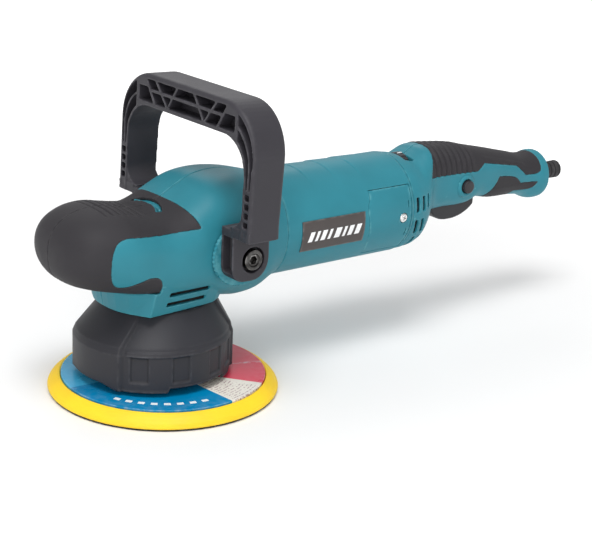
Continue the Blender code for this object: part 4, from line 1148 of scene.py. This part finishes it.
for name, side in (("left", -1.0), ("right", 1.0)):
    shell = lofted("grip_shell_" + name, REAR, overrun=0.0, step=1.8)
    for region in (GRIP_RUBBER, PALM_RUBBER):
        pocket = prism("pocket", rounded(region), -50.0, 50.0)
        cut(pocket, lofted("under", REAR, 2.2, 72, 3.0, overrun=4.0))
        cut(shell, pocket)
    if side < 0:
        ring_spot = (LOCK_X, 0.0, LOCK_Z)
        ring = softened([(0.0, -15.0), (8.6, -15.0), (8.3, -20.6), (7.2, -21.9), (0.0, -21.9)], 0.8)
        join(shell, turned("button_ring", ring, ring_spot, "Y", 64))
        cut(shell, rod("button_way", 5.2, -30.0, -10.0, ring_spot, "Y"))
    near, far = across(side, 10.0, 45.0)
    for x, low, high, lean in SLOTS:
        wide = 3.0 if x < 204.0 else 1.8
        outline = [(x + lean, low), (x + lean + wide, low), (x + wide, high), (x, high)]
        cut(shell, prism("slot", outline, near, far))
        # A near-black insert just inside each slot: painted shade in the slot.
        middle = np.mean(outline, axis=0)
        shrunk = [middle + 0.92 * (np.array(corner) - middle) for corner in outline]
        rear_slot_shade = prism("rear_slot_shade", shrunk, near, far)
        combine(rear_slot_shade, [lofted("shade_face", REAR[:6], 1.5, 72, 2.0, overrun=0.0)], "INTERSECT")
        cut(rear_slot_shade, lofted("shade_back", REAR[:6], 3.4, 48, 4.0, overrun=4.0))
        dressed(rear_slot_shade, painted_shade_black)
        fitted(rear_slot_shade, "housing", "black_nylon")
    cut(shell, block("dial_way", (198.6, -12.4, 118.0), (207.4, 12.4, 150.0)))
    cut(shell, block("trigger_way", (229.0, -8.6, 60.0), (277.0, 8.6, 100.0)))
    keep_low, keep_high = (-200.0, -SEAM) if side < 0 else (SEAM, 200.0)
    combine(shell, [block("half", (150.0, keep_low, 0.0), (400.0, keep_high, 200.0))], "INTERSECT")
    moulded(shell)
    room = lofted("inside", [row for row in REAR if row[0] < FLANGE_X - 4.5], 3.9, 48, 6.0)
    cut(shell, room, rod("mouth", 31.1, 180.0, 194.0, motor_line, "X"),
        rod("gland_way", 7.2, 330.0, 360.0, (0.0, 0.0, CORD_Z), "X"))
    dressed(shell, teal_nylon)
    fitted(shell, "housing", "teal_housing", "rear_housing_" + name)
    if side < 0:
        for title, region in (("grip_rubber_", GRIP_RUBBER), ("palm_rubber_", PALM_RUBBER)):
            rubber = lofted(title + "skin_left", REAR, 0.0, 160, 0.7, grip_relief, 1.0)
            combine(rubber, [prism("region", rounded(region), -50.0, 50.0)], "INTERSECT")
            cut(rubber, lofted("under", REAR, 1.9, 72, 3.0, overrun=4.0), far_side())
            moulded(rubber, 0.45, 3)
            dressed(rubber, soft_rubber)
            twin = mirrored(rubber, title + "skin_right")
            fitted(twin, "housing", "soft_grip", title + "right")
            fitted(rubber, "housing", "soft_grip", title + "left")

# The controls: a nylon trigger under the grip on its pin, a lock button in the left half, and a
# notched speed dial with white index marks in its window on top.
control_nylon = moulding(
    "control_nylon", (0.022, 0.021, 0.025), (0.10, 0.10, 0.11),
    low=0.34, high=0.46, size=0.5, depth=0.04, waviness=0.4, specular=0.4)
TRIGGER_OUTLINE = [
    (231.5, 95.4), (231.5, 95.4), (231.8, 87.0), (238.0, 81.0), (248.0, 79.2), (259.0, 80.0),
    (269.0, 84.0), (273.8, 88.0), (273.8, 88.0), (274.4, 98.0), (273.0, 103.4), (265.4, 103.4),
    (265.4, 103.4), (262.4, 95.4)]
trigger_spot = (269.0, 0.0, 100.4)
finger_lever = prism("finger_lever", rounded(TRIGGER_OUTLINE), -8.0, 8.0)
moulded(finger_lever, 0.45, 5)
cut(finger_lever, rod("pin_hole", 1.8, -20.0, 20.0, trigger_spot, "Y", 32))
dressed(finger_lever, control_nylon)
fitted(finger_lever, "trigger", "black_nylon", "trigger")
button_profile = softened([(0.0, -11.6), (4.7, -11.6), (4.7, -24.0), (4.0, -24.5), (0.0, -24.6)], 0.7, 4)
press_button = turned("press_button", button_profile, (LOCK_X, 0.0, LOCK_Z), "Y", 72)
dressed(press_button, control_nylon)
fitted(press_button, "lock", "black_nylon", "lock_button")
DIAL_R = 12.6
dial_line = (0.0, 0.0, DIAL_Z)


def dial_notches(turn, x, radius):
    """Thumb notches round the dial."""
    return -0.45 * max(0.0, math.cos(24 * turn)) ** 3 if radius > DIAL_R - 1.0 else 0.0


wheel_profile = [(2.0, 200.0), (11.6, 200.0), (12.3, 200.3), (DIAL_R, 200.9), (DIAL_R, 205.1),
                 (12.3, 205.7), (11.6, 206.0), (2.0, 206.0)]
wheel = turned("wheel", wheel_profile, dial_line, "X", 288, dial_notches)
dressed(wheel, control_nylon)
fitted(wheel, "dial", "black_nylon", "speed_dial")
index_paint = moulding(
    "index_paint", (0.86, 0.87, 0.88), (0.6, 0.6, 0.6),
    low=0.14, high=0.22, size=0.4, depth=0.01)
for i in range(6):
    turn = math.radians(97.5 - 45.0 * i)
    y, z = (DIAL_R + 0.02) * math.cos(turn), DIAL_Z + (DIAL_R + 0.02) * math.sin(turn)
    mark = block("index_%d" % i, (201.0, -0.55, -0.35), (205.0, 0.55, 0.35))
    set_at(mark, (0.0, y, z), "X", turn - math.pi / 2)
    dressed(mark, index_paint)
    fitted(mark, "dial", "plate_print")

# The trigger's return spring: music wire coiled in three turns, held between the plunger's head
# and the switch.
SPRING_SPOT = (246.0, 0.0)
SPRING_R, WIRE_R = 3.6, 0.45
SPRING_LOW, SPRING_HIGH = 98.9, 103.2
verts = []
coil_steps, wire_sides = 144, 10
for i in range(coil_steps + 1):
    share = i / coil_steps
    turn = 3.0 * math.tau * share
    z = SPRING_LOW + (SPRING_HIGH - SPRING_LOW) * share
    for k in range(wire_sides):
        round_wire = math.tau * k / wire_sides
        reach = SPRING_R + WIRE_R * math.cos(round_wire)
        verts.append((SPRING_SPOT[0] + reach * math.cos(turn), SPRING_SPOT[1] + reach * math.sin(turn),
                      z + WIRE_R * math.sin(round_wire)))
return_spring = solid("return_spring", verts, capped(coil_steps + 1, wire_sides))
dressed(return_spring, bright)
fitted(return_spring, "housing", "steel", "trigger_spring")
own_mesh(return_spring)

# The cord gland: a short stiff rubber sleeve out of the flange, with an open bore and shallow
# flexing grooves round it.
sleeve_profile = [(3.7, 331.0), (9.2, 331.0), (9.2, 334.0), (6.8, 334.0), (6.8, 345.0), (6.3, 345.6)]
for i in range(5):
    x, reach = 346.6 + 4.2 * i, 6.2 + 0.12 * i
    sleeve_profile += [(reach, x), (reach, x + 3.0), (reach - 0.3, x + 3.2), (reach - 0.3, x + 3.9)]
sleeve_profile += [(6.8, 367.8), (6.5, 368.7), (3.7, 368.7)]
sleeve = turned("sleeve", sleeve_profile, (0.0, 0.0, CORD_Z), "X", 96)
gland_rubber = moulding(
    "gland_rubber", (0.024, 0.022, 0.024), (0.08, 0.078, 0.08),
    low=0.5, high=0.64, size=0.4, depth=0.04, waviness=0.4, specular=0.3)
dressed(sleeve, gland_rubber)
fitted(sleeve, "housing", "gland_rubber", "cord_gland")

# The inner works keep their own shapes. Each gets the finish of what it is made of: ground and
# turned steel, cast alloy, pressed iron sheets, wound copper, brass, carbon and nylon.


def metal(name, colour, dull, low, high, size, depth):
    """Machined or cast metal: a fine grain, duller patches from handling and painted shade in creases."""
    material, tree, shader = blank(name)
    wear_and_shade_masks = placed(tree, wear_and_shade)
    touched = placed(tree, handling, Low=low, High=high)
    texture = placed(tree, grain, Size=size, Waviness=0.2)
    bare = mixed(tree, touched["Tone"], (*colour, 1.0), (*dull, 1.0))
    # Painted shade: creases darkened towards a quarter of the dull colour.
    bare = mixed(tree, maths(tree, "MULTIPLY", wear_and_shade_masks["Crease Shade"], 0.6), bare, part_of(dull, 0.25))
    bump = add(tree, "Bump", {"Strength": 0.8, "Distance": depth * MM, "Height": texture["Height"]})
    fill(tree, shader, {"Base Color": bare, "Roughness": touched["Roughness"], "Normal": bump.outputs[0],
                        "Metallic": 1.0})
    return material


inner_finishes = [
    (metal(
        "ground_steel", (0.62, 0.61, 0.60), (0.50, 0.49, 0.48),
        low=0.18, high=0.34, size=0.3, depth=0.01),
     ("pad_stud", "pad_spindle", "orbit_bearing_lower", "orbit_bearing_upper", "eccentric_carrier",
      "counterweight", "output_spindle", "spindle_bearing_lower", "spindle_bearing_upper", "bevel_gear",
      "bevel_pinion", "armature_shaft", "armature_bearing_front", "armature_bearing_rear", "trigger_pin")),
    (metal(
        "cast_alloy", (0.58, 0.59, 0.60), (0.42, 0.42, 0.43),
        low=0.42, high=0.6, size=0.9, depth=0.06),
     ("gear_case", "bearing_retainer")),
    (metal(
        "pressed_iron", (0.20, 0.20, 0.21), (0.12, 0.12, 0.12),
        low=0.36, high=0.5, size=0.5, depth=0.03),
     ("stator", "armature_core")),
    (metal(
        "copper_bars", (0.83, 0.42, 0.25), (0.60, 0.28, 0.16),
        low=0.24, high=0.4, size=0.4, depth=0.02), ("commutator",)),
    (metal(
        "brass_sheet", (0.80, 0.62, 0.30), (0.62, 0.46, 0.20),
        low=0.24, high=0.4, size=0.4, depth=0.02),
     ("brush_holder_left", "brush_holder_right")),
    (moulding(
        "pressed_carbon", (0.018, 0.018, 0.019), (0.07, 0.07, 0.07),
        low=0.5, high=0.7, size=0.3, depth=0.03),
     ("brush_left", "brush_right")),
    (moulding(
        "inner_nylon", (0.030, 0.030, 0.033), (0.12, 0.12, 0.12),
        low=0.42, high=0.55, size=0.6, depth=0.05),
     ("cooling_fan", "switch_body", "switch_plunger", "speed_controller", "cord_clamp")),
    (moulding(
        "capacitor_film", (0.62, 0.16, 0.04), (0.8, 0.5, 0.3),
        low=0.25, high=0.35, size=0.5, depth=0.02), ("capacitor",)),
]
for finish, names in inner_finishes:
    for name in names:
        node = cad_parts[name]
        node.data.materials.clear()
        node.data.materials.append(finish)
